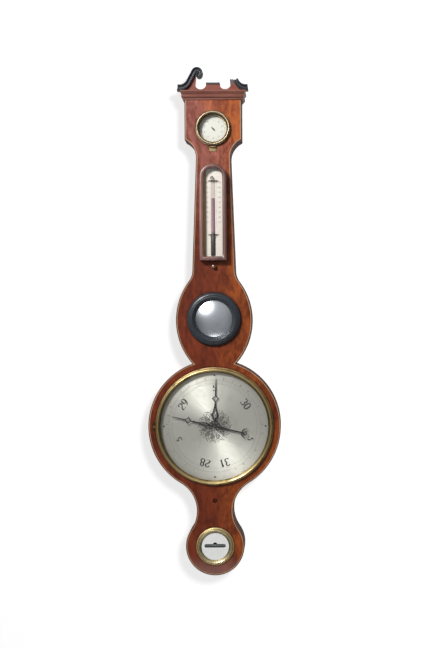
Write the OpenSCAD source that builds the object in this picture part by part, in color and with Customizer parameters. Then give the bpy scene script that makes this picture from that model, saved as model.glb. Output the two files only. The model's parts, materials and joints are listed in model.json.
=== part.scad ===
// Wheel barometer in a banjo-shaped case, in millimetres.
// +Z is up, the front faces -Y and the back of the case is the plane y = 0.
// The origin is the centre of the hanging hole on that plane.

/* [Case] */
// Depth of the case from the wall to its front
case_d = 38; // [37:0.5:46]
// Thickness of the front veneer
veneer_t = 1.5; // [1:0.1:1.8]
// Width of the pale edge stringing
string_w = 2; // [1:0.25:3]
// Radius of the foot roundel
foot_r = 56; // [52:1:62]
// Height of the main dial above the foot roundel
dial_rise = 230; // [224:1:245]
// Width of the case round the dial
roundel_w = 22; // [19:0.5:30]
// Radius of the sweep between the foot and the dial roundel
neck_r = 62; // [55:1:75]
// Height of the mirror swelling above the main dial
swell_rise = 203; // [196:1:208]
// Half width of the mirror swelling
swell_hw = 73; // [68:1:80]
// Radius of the sides of the mirror swelling
swell_r = 126; // [116:1:134]
// Half width of the trunk where it leaves the swelling
trunk_low_hw = 41; // [37:0.5:46]
// Half width of the trunk below the head
trunk_top_hw = 33; // [32:0.5:36]
// Radius where the trunk runs into the swelling
trunk_fillet_r = 35; // [25:1:50]
// Height of the trunk from the swelling to the head
trunk_rise = 312; // [310:1:330]
// Radius of the coves below the head
cove_r = 38; // [30:1:44]
// Half width of the head
head_hw = 54.6; // [50:0.2:60]
// Height of the head above the coves' centres
head_rise = 128; // [126:1:150]

/* [Pediment] */
// Height of the cornice
cornice_h = 17; // [14:0.5:22]
// How far the cornice stands out from the case
cornice_out = 8; // [6:0.5:12]
// Thickness of the pediment board
pediment_t = 14; // [10:0.5:18]
// Height of the plinth between the cut-outs
plinth_h = 12.4; // [11:0.2:15]
// Half width of the plinth
plinth_hw = 12.5; // [10:0.5:15]
// Radius of the round cut-outs beside the plinth
notch_r = 11; // [9:0.5:12]
// Thickness of the plinth cap
cap_t = 3.6; // [2:0.2:5]
// Height of the curl's centre above the case
curl_rise = 33.5; // [32:0.5:36]
// Radius of the curl's middle line
curl_r = 6; // [6:0.5:7.5]
// How far the swan necks stand in front of the board
neck_out = 6; // [3:0.5:9]

/* [Main dial] */
// Radius of the silvered dial
dial_r = 105; // [101:0.5:107]
// Thickness of the dial
dial_t = 1.5; // [1:0.1:2]
// Depth of the dial's face below the front of the case
dial_sink = 2; // [1:0.1:2.5]
// Distance of the dial screws from the dial's edge
dial_screw_in = 7.3; // [7:0.1:10]
// How far the brass bezel laps over the dial
bezel_lap = 1.8; // [1.4:0.1:2.4]
// Width of the bezel
bezel_w = 9.8; // [9:0.2:11]
// Height of the bezel's ridge above the case
bezel_h = 9.5; // [8:0.5:12]
// Rise of the convex glass
glass_rise = 9; // [6:0.5:12]
// Thickness of the glass
glass_t = 1.8; // [1.2:0.1:2]
// Length of the indicating hand
hand_len = 84; // [70:1:92]
// Length of the indicating hand's tail
tail_len = 56; // [40:1:62]
// Length of the set hand
set_len = 91; // [75:1:95]
// Thickness of the hands
hand_t = 0.8; // [0.6:0.1:1]
// Angle of the indicating hand from upright
hand_angle = 77; // [-150:1:150]
// Angle of the set hand from upright
set_angle = -2; // [-150:1:150]

/* [Movement] */
// Radius at which the silk runs on the float pulley
float_pulley_r = 6.615; // [6:0.005:7.5]
// Radius of the set hand's pulley
set_pulley_r = 20; // [18:0.5:21]
// Radius of the setting arbor's pulley
setting_pulley_r = 10; // [8:0.5:12]
// Distance of the setting arbor below the dial centre
setting_drop = 143; // [136:1:150]
// Radius of the hand arbor
arbor_r = 1.1; // [0.9:0.05:1.3]
// Radius of the set cord
set_cord_r = 0.6; // [0.4:0.05:0.7]
// Radial clearance of turning fits
run_gap = 0.05; // [0.03:0.01:0.08]

/* [Weather glass] */
// Outer radius of the siphon tube
tube_r = 4; // [3.5:0.1:4.3]
// Bore radius of the siphon tube
tube_bore = 2.6; // [2:0.1:2.8]
// Outer radius of the short limb
cup_r = 6; // [5.6:0.1:6.2]
// Bore radius of the short limb
cup_bore = 4.7; // [4.5:0.1:4.8]
// Depth of the mercury's lower surface below the dial centre
mercury_drop = 158; // [154:1:162]
// Height of the mercury column
mercury_head = 731.5; // [725:0.5:738]
// Length of the float and of the counterweight
float_len = 18; // [14:1:20]
// Radius of the float and of the counterweight
float_r = 4; // [3.6:0.1:4.1]

/* [Hygrometer] */
// Height of the hygrometer above the coves' centres
hyg_rise = 56; // [54:1:60]
// Outer radius of its bezel
hyg_r = 33.5; // [31:0.5:35]
// Radius of its plate
hyg_plate_r = 25; // [24:0.2:25.6]
// Depth of its plate below the front of the case
hyg_sink = 6; // [5:0.2:8]

/* [Thermometer] */
// Height of the box's foot above the mirror swelling
thermo_rise = 114; // [110:1:118]
// Height of the box
thermo_h = 184; // [160:1:186]
// Width of the box
thermo_w = 51.5; // [50:0.5:56]
// Depth of the box
thermo_d = 16; // [15:0.5:20]
// Width of the glazed opening
thermo_sight_w = 36.5; // [33:0.5:38]
// Height of the lift that frees the box
thermo_lift = 22; // [21:0.5:23]

/* [Mirror and level] */
// Height of the mirror above the middle of the swelling
mirror_up = 2.5; // [0:0.5:6]
// Outer radius of the mirror frame
mirror_frame_r = 51.5; // [48:0.5:54]
// Sight radius of the mirror
mirror_r = 36.6; // [33:0.2:38]
// Height of the mirror frame
mirror_frame_h = 13; // [11:0.5:16]
// Outer radius of the level's bezel
level_r = 36; // [34:0.5:38]
// Sight radius of the level's bezel
level_sight_r = 26.4; // [25:0.2:27.4]

/* [Back] */
// Half width of the back door
door_hw = 26; // [25:0.2:26.4]
// Thickness of the back door
door_t = 5; // [4:0.2:6]
// Radius of the hanging hole
hang_hole_r = 3.25; // [2.5:0.05:4]
// Height of the hanging hole above the case
hang_rise = 6; // [5:0.5:6.5]

/* [Hidden] */
$fn = 64;

// Clearances
seat_gap = 0.3;
snug_gap = 0.02;
eps = 0.01;

// Radii about the dial centre
roundel_r = dial_r + roundel_w;
dial_screw_ring = dial_r - dial_screw_in;
bezel_in = dial_r - bezel_lap;
bezel_r = bezel_in + bezel_w;

// Heights above the foot of the case
foot_z = foot_r;
dial_z = foot_z + dial_rise;
swell_z = dial_z + swell_rise;
cove_z = swell_z + trunk_rise;
top_z = cove_z + head_rise;
hang_z = top_z + hang_rise;
mirror_z = swell_z + mirror_up;
thermo_z = swell_z + thermo_rise;
hyg_z = cove_z + hyg_rise;
setting_z = dial_z - setting_drop;

// Colours
mahogany = "#8a4526";
dark_wood = "#4a2413";
ebony = "#2b2d31";
boxwood = "#b08d68";
brass = "#a8925c";
silvered = "#c9c9c0";
blued = "#3e403b";
clear = [0.85, 0.9, 0.92, 0.35];
quicksilver = "#a9adb3";

// Arc points from angle a0 to a1 about a centre
function arc(c, r, a0, a1, n) = [for (k = [0:n]) let (a = a0 + (a1 - a0) * k / n) c + r * [cos(a), sin(a)]];
function reversed(list) = [for (k = [len(list) - 1:-1:0]) list[k]];
function mirrored(list) = [for (p = reversed(list)) [-p[0], p[1]]];
function direction(from, to) = atan2(to[1] - from[1], to[0] - from[0]);

// Centre of an arc of radius r that touches two circles from outside, on the right
function touching(c1, r1, c2, r2, r) =
    let (d = c2[1] - c1[1], z = (d * d + pow(r1 + r, 2) - pow(r2 + r, 2)) / (2 * d))
    [c1[0] + sqrt(pow(r1 + r, 2) - z * z), c1[1] + z];
// Right-hand crossing of two circles
function crossing(c1, r1, c2, r2) =
    let (d = norm(c2 - c1), a = (d * d + r1 * r1 - r2 * r2) / (2 * d), u = (c2 - c1) / d)
    c1 + a * u + sqrt(r1 * r1 - a * a) * [u[1], -u[0]];

foot_c = [0, foot_z];
dial_c = [0, dial_z];
swell_c = [swell_hw - swell_r, swell_z];
neck_c = touching(foot_c, foot_r, dial_c, roundel_r, neck_r);
fillet_x = trunk_low_hw + trunk_fillet_r;
fillet_c = [fillet_x, swell_z + sqrt(pow(swell_r + trunk_fillet_r, 2) - pow(fillet_x - swell_c[0], 2))];
cove_c = [trunk_top_hw + cove_r, cove_z];

// Right side of the case outline, drawn in by inset and ending at the height top
function case_side(inset, top) =
    let (waist = crossing(dial_c, roundel_r - inset, swell_c, swell_r - inset),
        reach = acos((cove_c[0] - head_hw + inset) / (cove_r + inset)))
    concat(
        arc(foot_c, foot_r - inset, -90, direction(foot_c, neck_c), 24),
        arc(neck_c, neck_r + inset, 180 + direction(foot_c, neck_c), direction(neck_c, dial_c), 18),
        arc(dial_c, roundel_r - inset, direction(dial_c, neck_c), direction(dial_c, waist), 30),
        arc(swell_c, swell_r - inset, direction(swell_c, waist), direction(swell_c, fillet_c), 16),
        arc(fillet_c, trunk_fillet_r + inset, 180 + direction(swell_c, fillet_c), 180, 6),
        arc(cove_c, cove_r + inset, 180, 180 - reach, 12),
        [[head_hw - inset, top]]);
function unique(list) =
    [for (k = [0:len(list) - 1]) if (k == 0 || norm(list[k] - list[k - 1]) > 0.05) list[k]];
function case_outline(inset, top) =
    let (right = unique(case_side(inset, top)))
    concat(right, [for (k = [0:len(right) - 2]) mirrored(right)[k]]);

// Everything is drawn from the foot of the case and hung from the hole
module hung() {
    translate([0, 0, -hang_z]) children();
}
// Puts a plan drawn in x and z on the plane y, rising towards the front
module facing(y) {
    translate([0, y, 0]) rotate([90, 0, 0]) children();
}
// A disc or ring on the front or inside, from depth y0 forward to depth y1
module round_at(z, r, y0, y1, x = 0) {
    translate([x, y0, z]) rotate([90, 0, 0]) cylinder(h = y0 - y1, r = r);
}
// A profile of radius and height above the case front, turned about the Y axis
module turned_at(z, profile, x = 0, y = -case_d) {
    translate([x, y, z]) rotate([90, 0, 0]) rotate_extrude($fn = 128) polygon(profile);
}
// A solid through a list of closed rings of points, its ends fanned from each ring's first point
module lofted(rings) {
    n = len(rings[0]);
    m = len(rings);
    polyhedron(
        points = [for (ring = rings) each ring],
        faces = concat(
            [for (k = [1:n - 2]) [0, k, k + 1]],
            [for (j = [0:m - 2]) for (k = [0:n - 1]) each [
                [j * n + k, (j + 1) * n + k, j * n + (k + 1) % n],
                [j * n + (k + 1) % n, (j + 1) * n + k, (j + 1) * n + (k + 1) % n]]],
            [for (k = [1:n - 2]) (m - 1) * n * [1, 1, 1] + [0, k + 1, k]]));
}

// The same through rings that close on themselves
module looped(rings) {
    n = len(rings[0]);
    m = len(rings);
    polyhedron(
        points = [for (ring = rings) each ring],
        faces = [for (j = [0:m - 1]) for (k = [0:n - 1]) let (i = (j + 1) % m) each [
            [j * n + k, i * n + k, j * n + (k + 1) % n],
            [j * n + (k + 1) % n, i * n + k, i * n + (k + 1) % n]]]);
}

// Sizes of the case's insides
channel_hw = 21.6;
channel_d = 25.5;
cord_way_d = 31;
channel_lo = 32;
channel_hi = top_z - 31;
ledge = 5;
cord_way_lo = setting_z - setting_pulley_r - 8;
movement_r = 46;
movement_back = -8;
dial_y = -case_d + dial_sink;
dial_seat_y = dial_y + dial_t;
cup_wall = 1.2;
cup_out_r = hyg_plate_r + seat_gap + cup_wall;
hyg_floor_y = -case_d + hyg_sink + 2.2;
level_hole_r = 28;
level_floor_y = -case_d + 6.6;
setting_hole_r = 4.1;
screw_r = 1.5;
dial_screw_r = 0.9;
dial_screw_len = 8;
door_lo = channel_lo - ledge;
door_hi = channel_hi + ledge;
hinge_side_gap = 1.2;

// Back door hinges
knuckle_r = 1.5;
knuckle_len = 30;
hinge_pin_r = 0.7;
hinge_x = -door_hw - knuckle_r - 0.7;
hinge_y = -knuckle_r - 0.1;
leaf_t = 0.9;
leaf_w = 5;
strap_w = 12;
door_hinge_zs = [dial_z - 80, swell_z + 10, hyg_z - 8];

// Door button
button_x = door_hw + 8;
button_z = swell_z + 40;
button_r = 11.5;
button_hw = 3.5;
button_t = 1.8;
button_sink = 2.2;
button_pivot_r = 1.2;

// Hanging plate
plate_hw = 11;
plate_t = 2;
plate_lo = top_z - 23;
plate_hi = hang_z + 8;
plate_screw_zs = [top_z - 18, top_z - 8];
plate_screw_len = 14;
screw_head_r = 2.6;
screw_head_h = 1.2;

module hinge_groove(z) {
    translate([hinge_x - 2.6, -3.9, z - knuckle_len / 2 - seat_gap])
        cube([6, 5, knuckle_len + 2 * seat_gap]);
    translate([hinge_x - leaf_w - seat_gap, -leaf_t - eps, z - knuckle_len / 2 - seat_gap])
        cube([leaf_w + 1, 3, knuckle_len + 2 * seat_gap]);
}
module dial_screw_places() {
    for (a = [0:90:270])
        translate([dial_screw_ring * cos(a), 0, dial_z + dial_screw_ring * sin(a)]) children();
}

module case_carcass() color(mahogany) hung() difference() {
    facing(0) linear_extrude(case_d - veneer_t) polygon(case_outline(0, top_z));
    // Tube channel, the deeper way for the set cord, and the door's rebate
    translate([-channel_hw, -channel_d, channel_lo])
        cube([2 * channel_hw, channel_d + 1, channel_hi - channel_lo]);
    translate([-channel_hw, -cord_way_d, cord_way_lo])
        cube([2 * channel_hw, cord_way_d + 1, dial_z - cord_way_lo]);
    translate([-door_hw - hinge_side_gap, -door_t - seat_gap, door_lo - seat_gap])
        cube([2 * door_hw + hinge_side_gap + seat_gap, door_t + 2, door_hi - door_lo + 2 * seat_gap]);
    // Dial seat and the room for the movement
    round_at(dial_z, dial_r + seat_gap, dial_seat_y, -case_d - 1);
    round_at(dial_z, movement_r, movement_back, -case_d);
    dial_screw_places() round_at(0, dial_screw_r + snug_gap, dial_y + dial_screw_len + 1, -case_d);
    // Hygrometer cup, its spindle, the level and the setting bush
    round_at(hyg_z, cup_out_r + snug_gap, hyg_floor_y, -case_d);
    round_at(hyg_z, 4, 0, -case_d);
    round_at(foot_z, level_hole_r, level_floor_y, -case_d);
    round_at(setting_z, setting_hole_r + snug_gap, 0, -case_d);
    // Seats let into the back
    for (z = door_hinge_zs) hinge_groove(z);
    round_at(button_z, button_r + 1, 1, -button_sink, button_x);
    round_at(button_z, button_pivot_r + snug_gap, 1, -plate_screw_len - 1, button_x);
    translate([-plate_hw - snug_gap, -plate_t, plate_lo - snug_gap])
        cube([2 * plate_hw + 2 * snug_gap, 3, hang_z - plate_lo]);
    for (z = plate_screw_zs) round_at(z, screw_r + snug_gap, 1, -plate_screw_len - 1);
}

module front_veneer() color(mahogany) hung() difference() {
    facing(-case_d + veneer_t) linear_extrude(veneer_t) polygon(case_outline(string_w, top_z));
    round_at(dial_z, dial_r + seat_gap, 0, -case_d - 1);
    round_at(hyg_z, cup_out_r + snug_gap, 0, -case_d - 1);
    round_at(foot_z, level_hole_r, 0, -case_d - 1);
    round_at(setting_z, setting_hole_r + snug_gap, 0, -case_d - 1);
}

module edge_stringing() color(boxwood) hung() facing(-case_d + veneer_t) linear_extrude(veneer_t)
    difference() {
        polygon(case_outline(0, top_z));
        polygon(case_outline(string_w, top_z + 1));
    }

// Cornice profile: distance out from the case and height above its lower edge
function cornice_profile() = concat(
    [[0, cornice_h / 2], [0, 0], [cornice_out * 0.3, 0], [cornice_out * 0.3, cornice_h * 0.12]],
    arc([cornice_out * 0.3, cornice_h * 0.36], cornice_h * 0.2, -80, 60, 5),
    [[cornice_out * 0.42, cornice_h * 0.6], [cornice_out * 0.62, cornice_h * 0.67]],
    [[cornice_out * 0.8, cornice_h * 0.77], [cornice_out, cornice_h * 0.86]],
    [[cornice_out, cornice_h], [0, cornice_h]]);
module cornice() color(mahogany) hung() lofted([for (s = [[1, 0], [1, 1], [-1, 1], [-1, 0]])
    [for (p = cornice_profile())
        [s[0] * (head_hw + p[0]), -s[1] * (case_d + p[0]), top_z - cornice_h + p[1]]]]);

// Middle line of the left swan neck: a sweep up from the foot, then the curl
sweep_r = 20;
curl_end = -40;
foot_half = 5.5;
waist_half = 4;
tip_half = 5.2;
neck_foot_c = [-head_hw - 9.4, top_z + foot_half + sweep_r];
curl_c = [-plinth_hw - 18, top_z + curl_rise];
sweep_line = arc(neck_foot_c, sweep_r, -100, -28, 10);
curl_line = arc(curl_c, curl_r, 152, curl_end, 16);
neck_line = concat(sweep_line, curl_line);
neck_count = len(neck_line) - 1;
function neck_half(k) = let (t = k / neck_count)
    t < 0.4 ? foot_half + (waist_half - foot_half) * t / 0.4
        : waist_half + (tip_half - waist_half) * (t - 0.4) / 0.6;
function neck_edge(k, side) =
    let (a = neck_line[max(k - 1, 0)], b = neck_line[min(k + 1, neck_count)], u = (b - a) / norm(b - a))
    neck_line[k] + side * neck_half(k) * [-u[1], u[0]];
upper_edge = [for (k = [0:neck_count]) neck_edge(k, 1)];
lower_edge = [for (k = [0:neck_count]) neck_edge(k, -1)];
tip_turn = direction(neck_line[neck_count - 1], neck_line[neck_count]);
neck_tip = arc(neck_line[neck_count], tip_half, tip_turn + 72, tip_turn - 72, 8);
break_k = len(sweep_line) - 1;
break_c = neck_line[break_k] + 0.25 * (neck_line[break_k + 1] - neck_line[break_k]);

// Board edge under a swan neck, from its foot to the curl, kept above the case
board_edge = [for (k = [1:break_k + 1]) if (lower_edge[k][1] > top_z + 0.5) lower_edge[k]];
notch_x = plinth_hw + notch_r;
notch_foot = 3.2;
notch_z = top_z + notch_foot + notch_r;
notch_end = 360 + asin((plinth_h - notch_foot - notch_r) / notch_r);
board_left = concat([[board_edge[0][0], top_z]], board_edge,
    arc([-notch_x, notch_z], notch_r, 180, notch_end, 20));
break_edge = [for (k = [1:break_k]) if (lower_edge[k][1] > top_z + 0.5) lower_edge[k]];
board_right = concat([[board_edge[0][0], top_z]], break_edge,
    arc([-notch_x, notch_z], notch_r, 180, notch_end, 20));
pediment_y = -case_d + pediment_t;
neck_d = 14;
neck_y = -case_d - neck_out + neck_d;

module pediment_board() color(mahogany) hung() facing(pediment_y) linear_extrude(pediment_t)
    polygon(concat(board_left, mirrored(board_right)));

module swan_neck() color(ebony) hung() {
    facing(neck_y) linear_extrude(neck_d)
        polygon(concat(upper_edge, neck_tip, reversed(lower_edge)));
    facing(-case_d - neck_out) linear_extrude(1.5)
        polygon(concat([for (k = [0:neck_count]) neck_edge(k, 1)],
            [for (k = [neck_count:-1:0]) neck_edge(k, 0.25)]));
}

// The right scroll is broken off above its foot
module broken_swan_neck() color(ebony) hung() facing(neck_y) linear_extrude(neck_d)
    polygon(mirrored(concat([for (k = [0:break_k]) upper_edge[k]],
        [for (b = [[-4.4, -0.4], [-1.6, 2.2], [1.2, 0.6], [4.4, -1]]) break_c + b],
        [for (k = [break_k:-1:0]) lower_edge[k]])));

module plinth_cap() color(ebony) hung()
    translate([-plinth_hw - 0.8, -case_d - 1, top_z + plinth_h])
        cube([2 * plinth_hw + 1.6, pediment_t + 2, cap_t]);

module hanging_plate() color(brass) hung() difference() {
    facing(0) linear_extrude(plate_t) polygon([
        [-plate_hw, plate_lo], [plate_hw, plate_lo], [plate_hw, hang_z],
        [plate_hw / 2, plate_hi], [-plate_hw / 2, plate_hi], [-plate_hw, hang_z]]);
    round_at(hang_z, hang_hole_r, 1, -plate_t - 1);
    for (z = plate_screw_zs) {
        round_at(z, screw_r + snug_gap, 1, -plate_t - 1);
        round_at(z, screw_head_r + snug_gap, 1, -screw_head_h);
    }
}

// Bridge feet stand on the back of the dial
bridge_foot = 36;
bridge_hw = 4.5;
bridge_t = 2;
bridge_y = -10;
flange = 8;
bridge_screw_z = bridge_foot + flange / 2 + 1;

module wood_screw(z, y, x = 0) {
    round_at(z, screw_head_r, y, y - screw_head_h, x);
    round_at(z, screw_r, y - screw_head_h + eps, y - plate_screw_len, x);
}
module brass_screws() color(brass) hung() {
    for (z = plate_screw_zs) wood_screw(z, 0);
    round_at(button_z, screw_head_r, -eps, -button_sink + button_t, button_x);
    round_at(button_z, button_pivot_r, -eps, -plate_screw_len, button_x);
    for (s = [-1, 1]) translate([0, 0, dial_z + s * bridge_screw_z]) {
        round_at(0, 2, dial_seat_y + bridge_t + 1.2, dial_seat_y + bridge_t);
        round_at(0, 1.1, dial_seat_y + bridge_t + eps, dial_seat_y - dial_t + 0.5);
    }
}

// Knuckles of a butt hinge about the Z axis: the two ends or the middle
module knuckles(length, r, pin_r, ends) {
    third = length / 3;
    play = 0.2;
    for (s = ends ? [-1, 1] : [0])
        translate([0, 0, s * third - third / 2 + (s == 0 ? play : 0)])
            difference() {
                cylinder(h = third - (s == 0 ? 2 * play : 0), r = r);
                translate([0, 0, -1]) cylinder(h = third + 2, r = pin_r + (ends ? snug_gap : run_gap));
            }
}

module back_door() color(mahogany) hung() difference() {
    translate([-door_hw, -door_t, door_lo]) cube([2 * door_hw, door_t, door_hi - door_lo]);
    for (z = door_hinge_zs)
        translate([-door_hw - 1, -leaf_t - eps, z - knuckle_len / 6 - seat_gap])
            cube([strap_w, 3, knuckle_len / 3 + 2 * seat_gap]);
    round_at(button_z, button_r + 1, 1, -button_sink, button_x);
}
module door_hinge_leaves() color(brass) hung() for (z = door_hinge_zs) {
    translate([hinge_x, hinge_y, z]) knuckles(knuckle_len, knuckle_r, hinge_pin_r, true);
    for (s = [-1, 1]) translate([hinge_x - leaf_w, -leaf_t, z + s * knuckle_len / 3 - knuckle_len / 6])
        difference() {
            cube([leaf_w, leaf_t, knuckle_len / 3]);
            translate([leaf_w, leaf_t + hinge_y, -1]) cylinder(h = knuckle_len, r = knuckle_r - 0.2);
        }
    translate([hinge_x - leaf_w, -leaf_t, z - knuckle_len / 6]) cube([leaf_w - 2.4, leaf_t, knuckle_len / 3]);
}
module door_hinge_straps() color(brass) hung() for (z = door_hinge_zs) {
    translate([hinge_x, hinge_y, z]) knuckles(knuckle_len, knuckle_r, hinge_pin_r, false);
    translate([hinge_x, -leaf_t, z - knuckle_len / 6 + 0.2]) difference() {
        cube([strap_w, leaf_t, knuckle_len / 3 - 0.4]);
        translate([0, leaf_t + hinge_y, -1]) cylinder(h = knuckle_len, r = knuckle_r - 0.2);
    }
}
module door_button() color(brass) hung() difference() {
    union() {
        translate([button_x - button_hw, -button_sink, button_z - button_r + button_hw])
            cube([2 * button_hw, button_t, 2 * (button_r - button_hw)]);
        for (s = [-1, 1])
            round_at(button_z + s * (button_r - button_hw), button_hw, button_t - button_sink, -button_sink,
                button_x);
    }
    round_at(button_z, button_pivot_r + run_gap, 1, -button_sink - 1, button_x);
}

// Main dial: depths along the arbor, from the front backwards
sleeve_r = 2.3;
hand_y = -case_d - 3.4;
set_hand_y = -case_d - 0.8;
arbor_tip_y = hand_y - hand_t - 1;
set_pulley_y = -26.5;
pulley_w = 3;
pulley_rim = 0.6;
float_pulley_y = -14;
thread_r = 0.3;
counter_y = float_pulley_y - 1.5;
float_y = float_pulley_y - 4;
cord_y = set_pulley_y - pulley_w / 2;

module dial_plate() color(silvered) hung() difference() {
    round_at(dial_z, dial_r, dial_seat_y, dial_y);
    round_at(dial_z, sleeve_r + run_gap, 0, -case_d);
    dial_screw_places() round_at(0, dial_screw_r + snug_gap, 0, -case_d);
    for (s = [-1, 1]) round_at(dial_z + s * bridge_screw_z, 1.1 + snug_gap, 0, dial_y + 0.4);
}
module dial_screws() color(blued) hung() dial_screw_places() {
    round_at(0, 1.6, dial_y, dial_y - 0.5);
    round_at(0, dial_screw_r, dial_y + dial_screw_len, dial_y + eps - 0.5);
}

// Bezel section: foot, cavetto, ridge, inner slope and the rebate for the glass
glass_lip = 3;
glass_seat_h = 4.6;
function bezel_section(out_r, in_r, height, seat_h, lip) =
    let (wide = out_r - in_r, ridge_r = in_r + 0.52 * wide)
    concat([[in_r + lip, 0.2], [out_r, 0.2], [out_r, 0.2 * height]],
        arc([out_r, 0.2 * height + 0.38 * wide], 0.38 * wide, 270, 190, 6),
        arc([ridge_r, height - 1.6], 1.6, 20, 150, 6),
        [[in_r, seat_h + 1.4], [in_r, seat_h], [in_r + lip, seat_h]]);
bezel_hinge_r = 2;
bezel_hinge_len = 15;
bezel_leaf_w = 3.4;
bezel_pin_r = 0.9;
bezel_hinge_x = -bezel_r - bezel_hinge_r - 0.4;
front_hinge_y = -case_d - bezel_hinge_r - 0.4;

module main_bezel() color(brass) hung() {
    turned_at(dial_z, bezel_section(bezel_r, bezel_in, bezel_h, glass_seat_h, glass_lip));
    translate([bezel_hinge_x, front_hinge_y, dial_z]) {
        knuckles(bezel_hinge_len, bezel_hinge_r, bezel_pin_r, false);
        translate([bezel_pin_r + 0.4, 0.8, -bezel_hinge_len / 6 + 0.2])
            cube([3.4, 1.2, bezel_hinge_len / 3 - 0.4]);
    }
}
// Domed glass of edge radius r, rise and thickness, its edge back at height h
function dome(r, rise, h, n) =
    let (big = (r * r + rise * rise) / (2 * rise))
    [for (k = [0:n]) let (x = r * (1 - k / n)) [x, h + sqrt(big * big - x * x) - big + rise]];
function domed_glass(r, rise, t, h) = concat(dome(r, rise, h, 12), reversed(dome(r, rise, h + t, 12)));
module main_glass() color(clear) hung() turned_at(dial_z,
    domed_glass(bezel_in + glass_lip - seat_gap, glass_rise, glass_t, glass_seat_h - glass_t - 0.9));
module bezel_hinge_leaf() color(brass) hung() {
    translate([bezel_hinge_x, front_hinge_y, dial_z])
        knuckles(bezel_hinge_len, bezel_hinge_r, bezel_pin_r, true);
    translate([bezel_hinge_x - bezel_leaf_w, -case_d - 1, dial_z - bezel_hinge_len / 2]) difference() {
        cube([bezel_leaf_w, 1, bezel_hinge_len]);
        translate([bezel_leaf_w - 2.6, -1, bezel_hinge_len / 3 - 0.2])
            cube([9, 3, bezel_hinge_len / 3 + 0.4]);
    }
}
module hinge_pins() color(brass) hung() {
    for (z = door_hinge_zs) translate([hinge_x, hinge_y, z - knuckle_len / 2])
        cylinder(h = knuckle_len, r = hinge_pin_r);
    translate([bezel_hinge_x, front_hinge_y, dial_z - bezel_hinge_len / 2 - 0.8])
        cylinder(h = bezel_hinge_len + 1.6, r = bezel_pin_r);
    translate([-hyg_hinge_len / 2 - 0.6, front_hinge_y, hyg_hinge_z]) rotate([0, 90, 0])
        cylinder(h = hyg_hinge_len + 1.2, r = bezel_pin_r);
}

// Pierced hands, drawn pointing up from the arbor
module stem(z0, z1, hw0, hw1) {
    polygon([[-hw0, z0], [hw0, z0], [hw1, z1], [-hw1, z1]]);
}
module ring_plan(x, z, r_out, r_in) {
    translate([x, z]) difference() {
        circle(r_out);
        circle(r_in);
    }
}
module diamond_plan(z, hw, hh, wall) {
    difference() {
        polygon([[0, z - hh], [hw, z], [0, z + hh], [-hw, z]]);
        polygon([[0, z - hh + 1.7 * wall], [hw - 1.5 * wall, z], [0, z + hh - 1.7 * wall],
            [1.5 * wall - hw, z]]);
    }
    for (s = [-1, 1]) translate([s * hw, z]) circle(0.8);
}
module pointer_plan(length, diamond_z, foot) {
    circle(4.4);
    for (s = [-1, 1]) ring_plan(s * 3.4, 6.8, 3.9, 2.1);
    diamond_plan(diamond_z, 6.4, 7, 1.4);
    stem(foot, diamond_z - 6, 1.3, 1.1);
    translate([0, diamond_z - 12]) circle(2);
    stem(diamond_z + 6, length, 1.2, 0.5);
}
// Pointed open loop from z0, widest at z1, closing at z2
module lancet_plan(z0, z1, z2, hw, wall) {
    difference() {
        polygon([[-1.6, z0], [1.6, z0], [hw, z1], [0.8, z2], [-0.8, z2], [-hw, z1]]);
        polygon([[0, z0 + 2.2 * wall], [hw - 1.4 * wall, z1], [0, z2 - 4 * wall], [1.4 * wall - hw, z1]]);
    }
}
diamond_place = 52;
module indicating_hand() color(blued) hung() facing(hand_y) translate([0, dial_z]) rotate(hand_angle)
    linear_extrude(hand_t) difference() {
        union() {
            pointer_plan(hand_len, diamond_place, 30);
            lancet_plan(9, 17, 32, 4.4, 1.3);
            stem(-tail_len - 1, -2, 1.2, 1.6);
            for (s = [-1, 1]) ring_plan(s * 3.4, -6.8, 3.9, 2.1);
            ring_plan(0, -14.5, 3.6, 2.2);
            translate([0, -tail_len - 6]) difference() {
                circle(9.4);
                translate([0, -2.3]) circle(9);
            }
            ring_plan(0, -tail_len - 4.2, 3.8, 2.5);
        }
        circle(arbor_r + snug_gap);
    }
module set_hand() color(blued) hung() facing(set_hand_y) translate([0, dial_z]) rotate(set_angle)
    linear_extrude(hand_t) difference() {
        union() {
            pointer_plan(set_len, diamond_place + 1, 39);
            lancet_plan(9, 20, 42, 6.4, 1.5);
            ring_plan(0, 14, 2.6, 1.3);
        }
        circle(sleeve_r + snug_gap);
    }
module hand_arbor() color(brass) hung() round_at(dial_z, arbor_r, bridge_y + 0.6, arbor_tip_y);

// Grooved pulley section about the arbor, two rims and a floor
function pulley_section(bore, floor_r, rim_r, grooves) =
    let (step = 2.4)
    concat([[bore, 0], [rim_r, 0]],
        [for (g = [0:grooves - 1]) each [[rim_r, g * step + pulley_rim], [floor_r, g * step + pulley_rim],
            [floor_r, (g + 1) * step], [rim_r, (g + 1) * step]]],
        [[rim_r, grooves * step + pulley_rim], [bore, grooves * step + pulley_rim]]);
module float_pulley() color(brass) hung() turned_at(dial_z,
    pulley_section(arbor_r + snug_gap, float_pulley_r - thread_r - 0.15, float_pulley_r + 1, 2),
    0, float_pulley_y);
module set_sleeve() color(brass) hung() {
    difference() {
        turned_at(dial_z, pulley_section(sleeve_r - eps, set_pulley_r - set_cord_r - seat_gap,
            set_pulley_r + 0.8, 1), 0, set_pulley_y);
        for (a = [0:72:288])
            round_at(dial_z + 11 * sin(a), 4.4, 0, -case_d, 11 * cos(a));
    }
    difference() {
        round_at(dial_z, sleeve_r, set_pulley_y, set_hand_y - hand_t - 0.4);
        round_at(dial_z, arbor_r + run_gap, 0, -case_d - 9);
    }
}

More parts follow.
